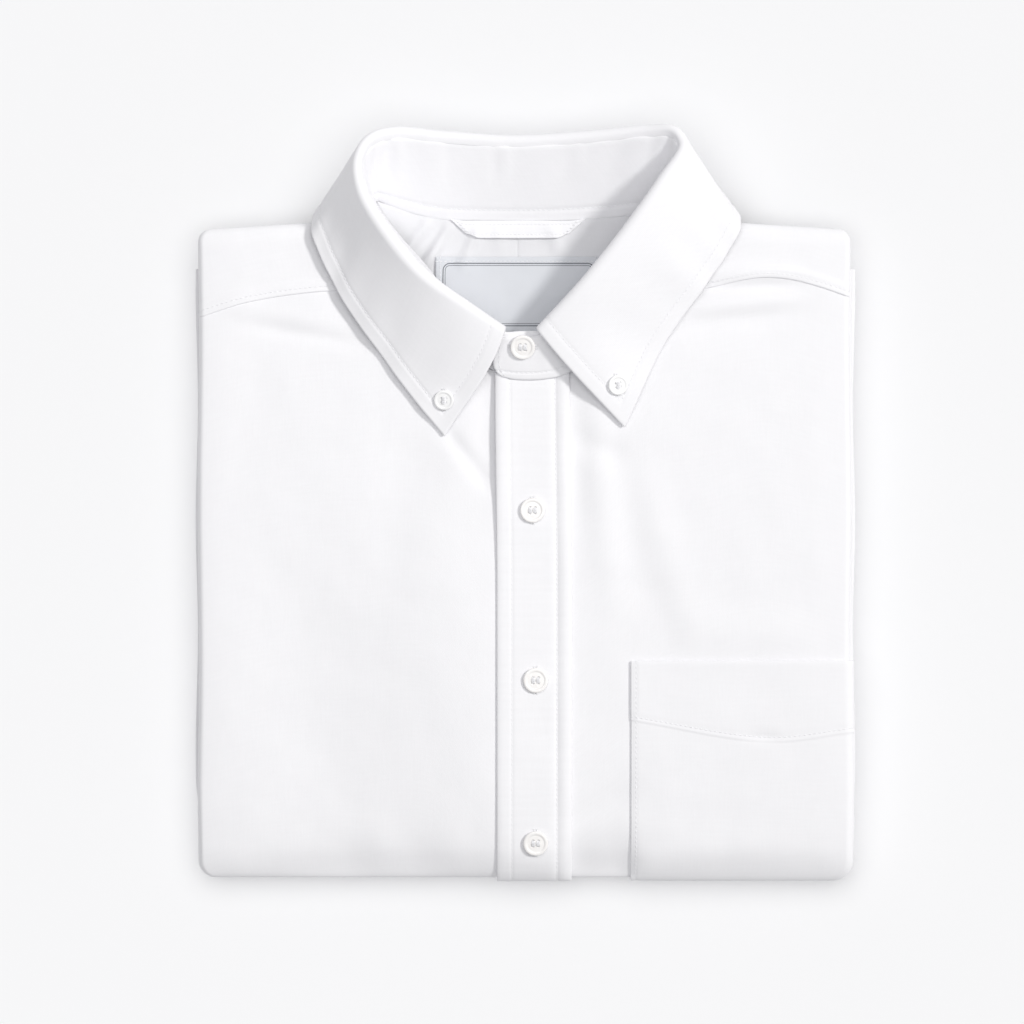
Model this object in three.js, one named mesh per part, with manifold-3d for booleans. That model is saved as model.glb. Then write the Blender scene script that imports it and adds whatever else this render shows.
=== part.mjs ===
// A button-down oxford shirt, buttoned at the neck and folded flat for the shelf.
// Sides and sleeves are turned behind, and the lower half is folded up under the upper half.
// Millimetres. X is the viewer's right, Y runs from the bottom fold to the collar, Z is up.
// "Left" and "right" name the wearer's sides, so the left front, with the pocket, is at +X.

import * as THREE from "three";
import Module from "manifold-3d";
import { mergeVertices } from "three/addons/utils/BufferGeometryUtils.js";

const wasm = await Module();
wasm.setup();

const { lerp, smoothstep, clamp, degToRad } = THREE.MathUtils;

// ---------------------------------------------------------------- driving dimensions

const clothWall = 1.2; // body panels
const seamGap = 0.3; // between pieces that are sewn together
const sideX = 149.8; // half width over the side folds
const bottomY = -172.8; // the bottom fold
const shoulderY = 129; // top edge beside the collar
const shoulderDrop = 4.2; // how much lower the shoulder line is at the side folds
const hemY = 117; // where the folded-up tail ends, underneath
const partingZ = 10.8; // level where upper and lower halves part
const partingGap = 3.2; // opening between their rounded edges
const topZ0 = 21.6; // top of the pack at the side folds
const crown = 2.6; // extra height along the middle
const frontLineX = 3.8; // the line that the two fronts meet on, under the placket

const sideRound = 8; // how far in the side folds begin to round over
const cornerRound = 8; // corners of the outline, bottom
const shoulderCorner = 6; // corners of the outline, top
const foldRoundTop = 15; // bottom fold, over the upper half
const foldRoundUnder = 9; // bottom fold, under the lower half
const shoulderRound = 9; // shoulder fold

// Soft folds in the cloth of the fronts. x, y: middle. turn: degrees from +X. reach: half length.
// width: half width. rise: height, negative for a trough.
const folds = [
  { name: "gap beside placket", x: -17, y: 26, turn: 90, reach: 44, width: 6, rise: -1.4 },
  { name: "swell beside placket", x: -28, y: 30, turn: 82, reach: 30, width: 8, rise: 0.9 },
  { name: "pull from left point", x: -27, y: 12, turn: -64, reach: 20, width: 5, rise: -0.8 },
  { name: "long hollow, right front", x: -55, y: -52, turn: 97, reach: 62, width: 15, rise: -0.9 },
  { name: "long swell, right front", x: -37, y: -74, turn: 90, reach: 60, width: 12, rise: 0.6 },
  { name: "shoulder pull, swell", x: -95, y: 80, turn: -15, reach: 32, width: 4.5, rise: 0.9 },
  { name: "shoulder pull, hollow", x: -88, y: 71, turn: -17, reach: 32, width: 5.5, rise: -0.9 },
  { name: "hollow along collar edge", x: -80, y: 90, turn: -57, reach: 24, width: 7, rise: -1.6 },
  { name: "hollow right of placket", x: 29, y: 9, turn: 99, reach: 40, width: 7.5, rise: -1.0 },
  { name: "slanting hollow", x: 47, y: 2, turn: -62, reach: 34, width: 7, rise: -0.8 },
  { name: "slanting swell", x: 41, y: -20, turn: -74, reach: 30, width: 7, rise: 0.7 },
  { name: "faint hollow over pocket", x: 64, y: -46, turn: -80, reach: 24, width: 9, rise: -0.6 },
  { name: "yoke fold, swell", x: 101, y: 106.5, turn: -2, reach: 25, width: 4.5, rise: 1.0 },
  { name: "yoke fold, hollow", x: 102, y: 99, turn: 3, reach: 26, width: 4, rise: -1.1 },
  { name: "second shoulder swell", x: 99, y: 92, turn: 5, reach: 28, width: 4.5, rise: 0.8 },
  { name: "second shoulder hollow", x: 98, y: 84.5, turn: 6, reach: 28, width: 5, rise: -0.7 },
  { name: "pocket mouth swell", x: 99, y: -61, turn: 2, reach: 30, width: 11, rise: 0.9 },
  { name: "bottom swell 1", x: -108, y: -158, turn: 82, reach: 15, width: 9, rise: 0.7 },
  { name: "bottom hollow 1", x: -83, y: -162, turn: 96, reach: 15, width: 8, rise: -0.9 },
  { name: "bottom swell 2", x: -67, y: -160, turn: 88, reach: 14, width: 7, rise: 0.6 },
  { name: "bottom hollow 2", x: -50, y: -163, turn: 84, reach: 15, width: 7, rise: -0.9 },
  { name: "bottom swell 3", x: -33, y: -158, turn: 93, reach: 17, width: 8, rise: 0.6 },
  { name: "bottom hollow 3", x: 43, y: -163, turn: 95, reach: 15, width: 8, rise: -0.8 },
  { name: "bottom swell 4", x: 66, y: -158, turn: 88, reach: 15, width: 10, rise: 0.6 },
  { name: "bottom hollow 4", x: 92, y: -162, turn: 94, reach: 14, width: 9, rise: -0.6 },
];

// Collar, station by station, from the wearer's right point round the back to the left point.
// seam: foot of the stand. crest: top of the roll. edge: free edge of the leaf.
// roll: bend radius over the top of the stand. crown: how much the leaf bellies out below it.
const collarStations = [
  { seam: [-14.7, 62.0, 25.4], crest: [-9.4, 81.0, 34.4], edge: [-37.3, 31.8, 25.7], roll: 2.4, crown: 2.2 }, // right point
  { seam: [-26.7, 79.6, 25.0], crest: [-25.3, 92.0, 40.6], edge: [-51.6, 49.3, 26.2], roll: 2.7, crown: 2.6 },
  { seam: [-43.7, 105.3, 22.4], crest: [-45.4, 105.2, 47.6], edge: [-67.4, 70.6, 26.6], roll: 2.8, crown: 3.0 },
  { seam: [-58.0, 121.9, 19.8], crest: [-62.2, 125.0, 51.2], edge: [-82.4, 92.2, 27.0], roll: 2.6, crown: 2.8 },
  { seam: [-66.2, 132.6, 17.2], crest: [-73.4, 143.0, 49.0], edge: [-92.0, 110.0, 26.8], roll: 2.0, crown: 1.6 },
  { seam: [-70.2, 139.6, 15.8], crest: [-75.6, 156.4, 45.0], edge: [-97.6, 125.6, 25.2], roll: 1.5, crown: 0.3 }, // right side
  { seam: [-68.6, 141.2, 15.0], crest: [-71.0, 166.0, 40.0], edge: [-95.6, 134.2, 13.6], roll: 1.5, crown: 0.2 },
  { seam: [-60.6, 138.4, 14.4], crest: [-61.0, 170.4, 34.0], edge: [-82.0, 136.0, 4.6], roll: 1.8, crown: 1.0 },
  { seam: [-38.6, 133.2, 13.8], crest: [-38.4, 169.2, 29.5], edge: [-47.0, 133.4, 1.8], roll: 2.2, crown: 2.2 },
  { seam: [-3.6, 132.2, 13.4], crest: [-5.4, 167.4, 27.2], edge: [-4.0, 131.6, 1.6], roll: 2.2, crown: 2.2 }, // nape
  { seam: [31.0, 133.2, 13.8], crest: [30.4, 169.4, 28.8], edge: [40.2, 133.2, 1.8], roll: 2.2, crown: 2.2 },
  { seam: [53.2, 135.6, 14.8], crest: [55.6, 171.6, 32.6], edge: [80.6, 136.0, 4.6], roll: 1.8, crown: 1.2 },
  { seam: [67.8, 137.6, 16.4], crest: [67.2, 170.8, 36.8], edge: [96.4, 134.6, 13.4], roll: 1.6, crown: 0.4 },
  { seam: [75.4, 132.6, 19.2], crest: [70.4, 164.4, 39.6], edge: [98.0, 127.4, 24.4], roll: 1.7, crown: 0.6 }, // left side
  { seam: [76.0, 121.0, 22.4], crest: [61.0, 149.6, 42.0], edge: [90.8, 113.0, 26.6], roll: 2.2, crown: 1.8 },
  { seam: [65.0, 103.6, 24.4], crest: [45.0, 127.2, 41.4], edge: [79.4, 97.0, 26.9], roll: 2.6, crown: 2.6 },
  { seam: [45.0, 79.8, 25.4], crest: [25.6, 102.8, 38.8], edge: [62.8, 72.8, 26.3], roll: 2.6, crown: 2.6 },
  { seam: [20.2, 62.2, 26.2], crest: [5.4, 80.6, 34.0], edge: [45.2, 36.0, 25.7], roll: 2.4, crown: 2.2 }, // left point
];
const standWall = 2.0;
const leafWall = 1.6;
const standShort = 4.8; // how far below the crest the stand stops
const stationSplit = 3; // grid columns for each collar station

// Neck well: where the fronts stop and the inside of the yoke shows. y, and x of each side.
const neckWell = [
  { y: 48, left: -17, right: 24 },
  { y: 62, left: -30, right: 35 },
  { y: 79, left: -45, right: 53 },
  { y: 99, left: -53, right: 69 },
  { y: 110, left: -60, right: 76 },
  { y: 122, left: -67, right: 82 },
  { y: 136, left: -74, right: 84 },
];
const wellFloorZ = 11.3;

const placketWall = 1.2;
const placketTopY = 58.2;
const patchGap = 0.6; // under the placket and the pocket, which lie on the fronts

const pocketWall = 1.0;
const pocketLeftX = 49.0;
const pocketTopY = -73.2;
const hemBandExtra = 0.45; // the turned hem of the pocket is this much thicker

const buttonGap = 0.3;
const frontButtonAcross = 11.5; // 18 ligne
const collarButtonAcross = 9.3; // 15 ligne
const frontButtons = [
  { name: "button_front_1", x: 3.2, y: -3.4 },
  { name: "button_front_2", x: 4.6, y: -81.4 },
  { name: "button_front_3", x: 4.6, y: -154.6 },
];
const collarButtons = [
  { name: "button_collar_right", x: -37.3, y: 47.8 },
  { name: "button_collar_left", x: 42.0, y: 54.5 },
];
const neckButton = { name: "button_neck", x: -1.2, y: 71.7 };

const white = 0xf6f6f8;
const looks = {
  cloth: { color: white, roughness: 0.85, metalness: 0 },
  label: { color: 0xdcdfe6, roughness: 0.55, metalness: 0 },
  button: { color: 0xefe9e4, roughness: 0.3, metalness: 0 },
};

// ---------------------------------------------------------------- solids from grids of points

const shirt = new THREE.Group();
shirt.name = "folded_oxford_shirt";

function addPiece(name, geometry, look) {
  const mesh = new THREE.Mesh(geometry, new THREE.MeshStandardMaterial(looks[look]));
  mesh.name = name;
  shirt.add(mesh);
  return mesh;
}

// Turns the faces round where they enclose a negative volume.
function facingOut(geometry) {
  const p = geometry.getAttribute("position");
  const index = geometry.index.array;
  const [a, b, c] = [new THREE.Vector3(), new THREE.Vector3(), new THREE.Vector3()];
  let volume = 0;
  for (let i = 0; i < index.length; i += 3) {
    a.fromBufferAttribute(p, index[i]);
    b.fromBufferAttribute(p, index[i + 1]);
    c.fromBufferAttribute(p, index[i + 2]);
    volume += a.dot(b.cross(c));
  }
  if (volume < 0) {
    for (let i = 0; i < index.length; i += 3) {
      [index[i], index[i + 1]] = [index[i + 1], index[i]];
    }
  }
  return geometry;
}

function geometryFrom(points, faces) {
  const geometry = new THREE.BufferGeometry();
  geometry.setAttribute("position", new THREE.Float32BufferAttribute(points.flatMap((p) => [p.x, p.y, p.z]), 3));
  geometry.setIndex(faces);
  return facingOut(geometry);
}

// A sheet with a wall: two grids of points, joined round their rim. pointAt(i, j, layer), layer 0 or 1.
function wallOf(columns, rows, pointAt) {
  const across = columns + 1;
  const layerSize = across * (rows + 1);
  const points = [];
  const faces = [];
  const at = (i, j, layer) => layer * layerSize + j * across + i;
  const quad = (a, b, c, d) => faces.push(a, b, c, a, c, d);
  for (const layer of [0, 1]) {
    for (let j = 0; j <= rows; j++) {
      for (let i = 0; i <= columns; i++) points.push(pointAt(i, j, layer));
    }
  }
  for (let j = 0; j < rows; j++) {
    for (let i = 0; i < columns; i++) {
      quad(at(i, j, 0), at(i + 1, j, 0), at(i + 1, j + 1, 0), at(i, j + 1, 0));
      quad(at(i, j, 1), at(i, j + 1, 1), at(i + 1, j + 1, 1), at(i + 1, j, 1));
    }
  }
  for (let i = 0; i < columns; i++) {
    quad(at(i, 0, 0), at(i, 0, 1), at(i + 1, 0, 1), at(i + 1, 0, 0));
    quad(at(i, rows, 0), at(i + 1, rows, 0), at(i + 1, rows, 1), at(i, rows, 1));
  }
  for (let j = 0; j < rows; j++) {
    quad(at(0, j, 0), at(0, j + 1, 0), at(0, j + 1, 1), at(0, j, 1));
    quad(at(columns, j, 0), at(columns, j, 1), at(columns, j + 1, 1), at(columns, j + 1, 0));
  }
  return geometryFrom(points, faces);
}

// A closed solid from rings of points along it, each end closed by a fan about the given middle.
function solidOfRings(rings, middleOf) {
  const size = rings[0].length;
  const points = rings.flat();
  const faces = [];
  for (let r = 0; r + 1 < rings.length; r++) {
    for (let i = 0; i < size; i++) {
      const next = (i + 1) % size;
      const [a, b, c, d] = [r * size + i, r * size + next, (r + 1) * size + next, (r + 1) * size + i];
      faces.push(a, b, c, a, c, d);
    }
  }
  const lastStart = points.length - size;
  const firstMiddle = points.push(middleOf(rings[0])) - 1;
  const lastMiddle = points.push(middleOf(rings.at(-1))) - 1;
  for (let i = 0; i < size; i++) {
    const next = (i + 1) % size;
    faces.push(firstMiddle, next, i, lastMiddle, lastStart + i, lastStart + next);
  }
  return geometryFrom(points, faces);
}

function toManifold(geometry) {
  const bare = geometry.clone();
  bare.deleteAttribute("normal");
  bare.deleteAttribute("uv");
  const merged = mergeVertices(bare, 1e-4);
  return new wasm.Manifold(new wasm.Mesh({
    numProp: 3,
    vertProperties: new Float32Array(merged.attributes.position.array),
    triVerts: new Uint32Array(merged.index.array),
  }));
}

function fromManifold(solid) {
  const mesh = solid.getMesh();
  const geometry = new THREE.BufferGeometry();
  geometry.setAttribute("position", new THREE.BufferAttribute(new Float32Array(mesh.vertProperties), 3));
  geometry.setIndex(new THREE.BufferAttribute(new Uint32Array(mesh.triVerts), 1));
  return geometry;
}

// Value of a table's column where its key column has the value given, on a smooth line through the rows.
function tableAt(table, key, column, at) {
  const last = table.length - 1;
  let k = table.findIndex((row, i) => i < last && at <= table[i + 1][key]);
  if (k < 0) k = last - 1;
  const slope = (i) => {
    const [a, b] = [table[Math.max(i - 1, 0)], table[Math.min(i + 1, last)]];
    return (b[column] - a[column]) / (b[key] - a[key]);
  };
  const span = table[k + 1][key] - table[k][key];
  const s = clamp((at - table[k][key]) / span, 0, 1);
  const bend = s * (1 - s) * span * ((1 - s) * slope(k) - s * slope(k + 1));
  return lerp(table[k][column], table[k + 1][column], s * s * (3 - 2 * s)) + bend;
}

// ---------------------------------------------------------------- the pack's outer skin

const bump = (value, half) => Math.exp(-((value / half) ** 2));

function foldRelief(x, y) {
  return folds.reduce((sum, fold) => {
    const turn = degToRad(fold.turn);
    const [dx, dy] = [x - fold.x, y - fold.y];
    const along = dx * Math.cos(turn) + dy * Math.sin(turn);
    const across = dy * Math.cos(turn) - dx * Math.sin(turn);
    return sum + fold.rise * bump(across, fold.width) * Math.exp(-((along / fold.reach) ** 4));
  }, 0);
}

// The cloth sinks towards the shoulder points of the neck, where the collar passes over it.
function neckDip(x, y) {
  return -6 * bump(x + 67, 17) * bump(y - 137, 19) - 3.4 * bump(x - 78, 15) * bump(y - 137, 17);
}

// Height of the upper skin over (x, y), before its edges round over.
const plainZ = (x, y) => topZ0 + crown * (1 - (x / sideX) ** 2) + neckDip(x, y);

function upperZ(x, y) {
  const nearSide = smoothstep(sideX - Math.abs(x), sideRound, sideRound + 14);
  return plainZ(x, y) + foldRelief(x, y) * nearSide;
}

// How far an outline corner of this radius cuts in, at this distance from the end.
function cornerCut(radius, fromEnd) {
  const left = clamp(radius - fromEnd, 0, radius);
  return radius - Math.sqrt(radius ** 2 - left ** 2);
}

// Half width of the pack, a little uneven in its upper half. face: 1 above, -1 below.
const edgeX = (y, face) => sideX - 0.35 * (face > 0 ? 1 - Math.cos(y / 23) : 1);

// Rows down a front: open cloth from startY to the bottom fold, round the fold, and back underneath.
// A row gives y for an x and an inset, its lift (1 on the flat, 0 on the fold's nose) and its face.
function frontRows({ startY, openRows, topAngles, underAngles, underEnds }) {
  const topFoldY = bottomY + foldRoundTop;
  const underFoldY = bottomY + foldRoundUnder;
  const rows = openRows.map((share) => ({
    face: 1, lift: 1, y: (x) => lerp(startY(x), topFoldY, share),
  }));
  const foldRow = (face, radius) => (angle) => ({
    face,
    lift: Math.cos(degToRad(angle)),
    y: (x, inset) => bottomY + inset + (radius - inset) * (1 - Math.sin(degToRad(angle))),
  });
  rows.push(...topAngles.map(foldRow(1, foldRoundTop)), ...underAngles.map(foldRow(-1, foldRoundUnder)));
  rows.push(...underEnds.map((share) => ({ face: -1, lift: 1, y: () => lerp(underFoldY, hemY, share) })));
  return rows;
}

// A point of the fronts' skin. column runs 0 to 1 from innerX(row) to the side fold, and 1 to 2 round it.
function frontSkin(side, innerX, column, row, inset) {
  const edgeY = row.y(side * sideX, inset);
  const cut = cornerCut(cornerRound - inset, edgeY - bottomY - inset);
  const round = sideRound - inset;
  const turnX = edgeX(edgeY, row.face) - inset - cut - round;
  const open = smoothstep(edgeY - bottomY, foldRoundTop - 8, foldRoundTop + 30);
  let x;
  let z;
  if (column <= 1) {
    x = lerp(innerX(row), side * turnX, column);
    z = row.face > 0 ? upperZ(x, row.y(x, inset)) - inset : inset;
  } else {
    const outerZ = row.face > 0 ? upperZ(side * turnX, edgeY) : 0;
    const lipZ = partingZ + (row.face * lerp(1, partingGap, open)) / 2;
    const centreZ = lerp(partingZ, (outerZ + lipZ) / 2, open);
    const half = Math.abs(outerZ - centreZ);
    const lastAngle = Math.asin(clamp((row.face * (lipZ - centreZ)) / half, -1, 1));
    const angle = lerp(Math.PI / 2, lastAngle, column - 1);
    x = side * (turnX + round * Math.cos(angle));
    z = centreZ + row.face * (half - inset) * Math.sin(angle);
  }
  return new THREE.Vector3(x, row.y(x, inset), partingZ + (z - partingZ) * row.lift);
}

const evenly = (count) => Array.from({ length: count + 1 }, (_, i) => i / count);

// Columns over the flat, then round the side fold.
const columnShares = (flat, round, last = 2) => [
  ...evenly(flat),
  ...evenly(round).slice(1).map((share) => lerp(1, last, share)),
];

// A wall that lies on the fronts' skin, from one inset to another.
function skinWall(side, innerX, columns, rows, outerInset, innerInset) {
  return wallOf(columns.length - 1, rows.length - 1, (i, j, layer) => {
    const inset = layer ? innerInset(columns[i], rows[j]) : outerInset(columns[i], rows[j]);
    return frontSkin(side, innerX, columns[i], rows[j], inset);
  });
}

// ---------------------------------------------------------------- fronts

// The two fronts' upper edges: round the neck, then along the yoke seam. x in order.
// Above, the fronts meet under the placket. Underneath, they stop beside it, so that the pack rests flat.
const rightFrontTop = [
  { x: -149.8, y: 85.6 }, { x: -129, y: 92.2 }, { x: -104, y: 96.4 }, { x: -80, y: 98.2 }, { x: -43, y: 99.6 },
  { x: -30.6, y: 79.6 }, { x: -20, y: 63.6 }, { x: -12, y: 59.9 }, { x: 5, y: 59.6 },
];
const leftFrontTop = [
  { x: 2, y: 59.6 }, { x: 17, y: 59.8 }, { x: 25, y: 62.8 }, { x: 46, y: 77.6 }, { x: 60, y: 94.6 },
  { x: 82, y: 98.6 }, { x: 106, y: 103.6 }, { x: 121, y: 103.2 }, { x: 136, y: 99.4 }, { x: 149.8, y: 94.6 },
];
const openFrontRows = [
  0, 0.02, 0.045, 0.07, 0.1, 0.13, 0.17, 0.21, 0.26, 0.31, 0.37, 0.43, 0.5, 0.57, 0.64, 0.71, 0.78, 0.85, 0.92, 1,
];
const foldTopAngles = [18, 36, 54, 70, 84];
const foldUnderAngles = [84, 66, 40, 0];
const wall = () => clothWall;
const flush = () => 0;

const placketHalf = 16.6;
const placketMiddleX = (y) => frontLineX - 0.6 + 0.9 * smoothstep(-y, -60, 40);

function front(name, side, topLine) {
  const rows = frontRows({
    startY: (x) => tableAt(topLine, "x", "y", x),
    openRows: openFrontRows,
    topAngles: foldTopAngles,
    underAngles: foldUnderAngles,
    underEnds: [0.05, 0.1, 0.16, 0.55, 1],
  });
  const meeting = frontLineX + (side * seamGap) / 2;
  const besidePlacket = placketMiddleX(bottomY) + side * (placketHalf + seamGap);
  const innerX = (row) => (row.face > 0 || row.lift < 0.2 ? meeting : besidePlacket);
  addPiece(name, skinWall(side, innerX, columnShares(14, 5), rows, flush, wall), "cloth");
}
front("front_right", -1, rightFrontTop);
front("front_left", 1, leftFrontTop);

// ---------------------------------------------------------------- yoke at the shoulders

// The yoke laps over the shoulder fold. Its neck edge stands just outside the collar's stand.
const rightYokeNeck = [{ y: 99, x: -43 }, { y: 110, x: -51 }, { y: 122, x: -60.4 }, { y: 134, x: -69 }];
const leftYokeNeck = [{ y: 94, x: 62.5 }, { y: 104, x: 68.5 }, { y: 121, x: 79.4 }, { y: 133, x: 80 }];
const upperLipZ = partingZ + partingGap / 2;
const shoulderUnder = 8; // how far the yoke turns back under the shoulder
const shoulderUnderX = 76; // where that turning begins, beside the inside of the yoke
const yokeSeamGap = 0.55;
const yokeOpenRows = [0, 0.25, 0.5, 0.75, 1];
const shoulderAngles = [24, 48, 68, 84];
const shoulderEndY = (x) => shoulderY - (shoulderDrop * clamp(Math.abs(x) - 80, 0, 70)) / 70;

function yokeRows(seamY) {
  const foldRow = (face) => (angle) => ({
    face,
    lift: Math.cos(degToRad(angle)),
    y: (x, inset) =>
      shoulderEndY(x) - inset - (shoulderRound - inset) * (1 - Math.sin(degToRad(angle))),
  });
  return [
    ...yokeOpenRows.map((share) => ({
      face: 1, lift: 1, y: (x) => lerp(seamY(x) + yokeSeamGap, shoulderEndY(x) - shoulderRound, share),
    })),
    ...shoulderAngles.map(foldRow(1)),
    ...[...shoulderAngles].reverse().map(foldRow(-1)),
    { face: -1, lift: 1, y: (x) => shoulderEndY(x) - shoulderRound },
    { face: -1, lift: 1, y: (x) => shoulderEndY(x) - shoulderRound - shoulderUnder },
  ];
}

function yokeSkin(side, neckLine, column, row, inset) {
  const edgeY = row.y(side * sideX, inset);
  const fromEnd = shoulderEndY(sideX) - inset - edgeY;
  const round = sideRound - inset;
  const turnX = edgeX(edgeY, 1) - inset - cornerCut(shoulderCorner - inset, fromEnd) - round;
  const open = smoothstep(fromEnd, 2, 24);
  const outerZ = upperZ(side * turnX, edgeY);
  const centreZ = (outerZ + upperLipZ) / 2;
  let x;
  let z;
  if (column <= 1) {
    const seamX = tableAt(neckLine, "y", "x", row.y(neckLine[1].x, inset));
    const neckX = row.face > 0 ? seamX : side * Math.max(Math.abs(seamX), shoulderUnderX);
    x = lerp(neckX, side * turnX, column);
    z = row.face > 0 ? upperZ(x, row.y(x, inset)) - inset : upperLipZ + inset;
  } else {
    const slit = -80 * open - row.face * 0.5;
    const lastAngle = degToRad(row.face > 0 ? slit : -slit);
    const angle = lerp(Math.PI / 2, lastAngle, column - 1);
    x = side * (turnX + round * Math.cos(angle));
    z = centreZ + row.face * ((outerZ - upperLipZ) / 2 - inset) * Math.sin(angle);
  }
  const y = row.y(x, inset);
  const level = (upperZ(x, y) + upperLipZ) / 2;
  return new THREE.Vector3(x, y, level + (z - level) * row.lift);
}

function yoke(name, side, neckLine, topLine) {
  const rows = yokeRows((x) => tableAt(topLine, "x", "y", x));
  const columns = columnShares(9, 6);
  const geometry = wallOf(columns.length - 1, rows.length - 1, (i, j, layer) =>
    yokeSkin(side, neckLine, columns[i], rows[j], layer ? clothWall : 0));
  addPiece(name, geometry, "cloth");
}
yoke("yoke_right_shoulder", -1, rightYokeNeck, rightFrontTop);
yoke("yoke_left_shoulder", 1, leftYokeNeck, leftFrontTop);

// ---------------------------------------------------------------- hidden layers

// Back, sleeves, side turnings and tail in one solid. Its edge shows three layers, one over the other.
const coreInset = clothWall + 0.8;
const hollowRoom = 1.3; // the layers lie this much lower, to clear the hollows in the fronts
const coreTopY = hemY - 0.8;
const coreUpperY = 108; // the upper layers stop here, inside the shoulder fold
const sleeveLayer = { half: 1.2, reach: 5.4, root: -3.5 };
const coreSideAngles = [62, 34, 8, -18, -50];

function coreHalfSection(side, y, extra) {
  const inset = coreInset + extra;
  const fromEnd = y - bottomY - inset;
  const topShare = clamp(1 - fromEnd / (foldRoundTop - inset), 0, 1);
  const underShare = clamp(1 - fromEnd / (foldRoundUnder - inset), 0, 1);
  const topLift = Math.sqrt(1 - topShare ** 2);
  const underLift = Math.sqrt(1 - underShare ** 2);
  const round = sideRound - inset;
  const turnX = edgeX(y, -1) - 0.35 - inset - cornerCut(cornerRound - inset, fromEnd) - round;
  const open = smoothstep(y - bottomY, foldRoundTop - 8, foldRoundTop + 30);
  const section = [];
  const push = (x, z, lift) => section.push(new THREE.Vector3(side * x, y, partingZ + (z - partingZ) * lift));
  const flatShares = side > 0 ? evenly(9) : evenly(9).slice(1);
  for (const share of flatShares) {
    const x = turnX * share;
    push(x, plainZ(side * x, y) - inset - hollowRoom * smoothstep(turnX - x, 0, 20), topLift);
  }
  const lip = lerp(0.5, partingGap / 2, open);
  const roundEdge = (face, lift, shares) => {
    const outerZ = face > 0 ? plainZ(side * turnX, y) : 0;
    const centreZ = lerp(partingZ, (outerZ + partingZ + face * lip) / 2, open);
    const half = Math.abs(outerZ - centreZ);
    const lastAngle = Math.asin(clamp((face * (partingZ + face * lip - centreZ)) / half, -1, 1));
    for (const degrees of shares) {
      const angle = lerp(Math.PI / 2, lastAngle, (90 - degrees) / 180);
      push(turnX + round * Math.cos(angle), centreZ + face * (half - inset) * Math.sin(angle), lift);
    }
    return centreZ + face * (half - inset) * Math.sin(lastAngle);
  };
  const upperRootZ = roundEdge(1, topLift, [...coreSideAngles, -90]);
  const lowerRootZ = lerp(partingZ, partingZ - partingGap / 2 - inset, open) - 0.1;
  const rootX = turnX + lerp(round, sleeveLayer.root, open) - 0.2 * (1 - open);
  const layerX = turnX + lerp(round, sleeveLayer.reach, open);
  const layerHalf = sleeveLayer.half * lerp(0.2, 1, open);
  push(rootX, upperRootZ, topLift);
  push(rootX, partingZ + layerHalf, topLift);
  push(layerX - 1.2 * open, partingZ + layerHalf, topLift);
  push(layerX, partingZ, 1);
  push(layerX - 1.2 * open, partingZ - layerHalf, underLift);
  push(rootX, partingZ - layerHalf, underLift);
  push(rootX, lowerRootZ, underLift);
  roundEdge(-1, underLift, [-90, ...[...coreSideAngles].reverse()]);
  const under = side > 0 ? [1, 0.5, 0] : [1, 0.5];
  for (const share of under) push(turnX * share, inset, underLift);
  return section;
}

function coreRing(y, extra = 0) {
  const right = coreHalfSection(1, y, extra);
  const left = coreHalfSection(-1, y, extra);
  return [...right, ...left.reverse()];
}

function hiddenLayers() {
  const nose = [0.6, 2.2, 5, 9, 13].map((fromNose) => bottomY + coreInset + fromNose);
  const open = evenly(14).map((share) => lerp(nose.at(-1) + 6, coreTopY - 2.5, share));
  const rings = [...nose, ...open].map((y) => coreRing(y));
  rings.push(coreRing(coreTopY, 1.6));
  return toManifold(solidOfRings(rings, (ring) => new THREE.Vector3(0, ring[0].y, partingZ)));
}

// The well's outline as a prism: the space over the inside of the yoke, open upwards and to the back.
function wellCutter() {
  const outline = new THREE.Shape();
  outline.moveTo(neckWell[0].left, neckWell[0].y);
  neckWell.slice(1).forEach((row) => outline.lineTo(row.left, row.y));
  [...neckWell].reverse().forEach((row) => outline.lineTo(row.right, row.y));
  const prism = new THREE.ExtrudeGeometry(outline, { depth: 60, bevelEnabled: false });
  return toManifold(prism.translate(0, 0, wellFloorZ));
}

// Room beside the well for the yoke's turning inside the shoulder fold.
function shoulderCutter(side) {
  const [width, depth, height] = [120, 40, 60];
  const block = new THREE.BoxGeometry(width, depth, height);
  const floorZ = partingZ - partingGap / 2 + 0.2;
  return toManifold(block.translate(side * (shoulderUnderX - 6 + width / 2), coreUpperY + depth / 2, floorZ + height / 2));
}

const layers = hiddenLayers().subtract(wellCutter()).subtract(shoulderCutter(-1)).subtract(shoulderCutter(1));
addPiece("folded_layers", fromManifold(layers), "cloth");

// ---------------------------------------------------------------- inside of the yoke

const yokeSeamX = -3.6; // centre seam of the split yoke
const insideZ = wellFloorZ + seamGap + clothWall / 2;
const insideFrontY = 49.5;

// Its outer edges, y and x of each side, and its back edge at the neck seam, with the height there.
const insideSides = [
  { y: 49, left: -15.5, right: 22 },
  { y: 62, left: -27.5, right: 32.5 },
  { y: 79, left: -42.5, right: 50.5 },
  { y: 99, left: -49, right: 65.5 },
  { y: 110, left: -53.5, right: 70.5 },
  { y: 122, left: -56.8, right: 73.4 },
  { y: 133, left: -65, right: 71 },
  { y: 140, left: -68.6, right: 65.6 },
];
const insideBack = [
  { x: -69, y: 139.0, z: 13.9 },
  { x: -60, y: 136.2, z: 13.6 },
  { x: -38, y: 132.3, z: 13.0 },
  { x: -4, y: 131.5, z: 12.7 },
  { x: 31, y: 132.4, z: 13.0 },
  { x: 53, y: 134.4, z: 13.7 },
  { x: 67, y: 135.6, z: 14.8 },
];

// Middle of the cloth: flat on the layers below, rising to the foot of the stand.
function insideMiddleZ(x, y) {
  const backY = tableAt(insideBack, "x", "y", x);
  const rise = tableAt(insideBack, "x", "z", x) - insideZ;
  return insideZ + rise * smoothstep(y, backY - 22, backY);
}

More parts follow.
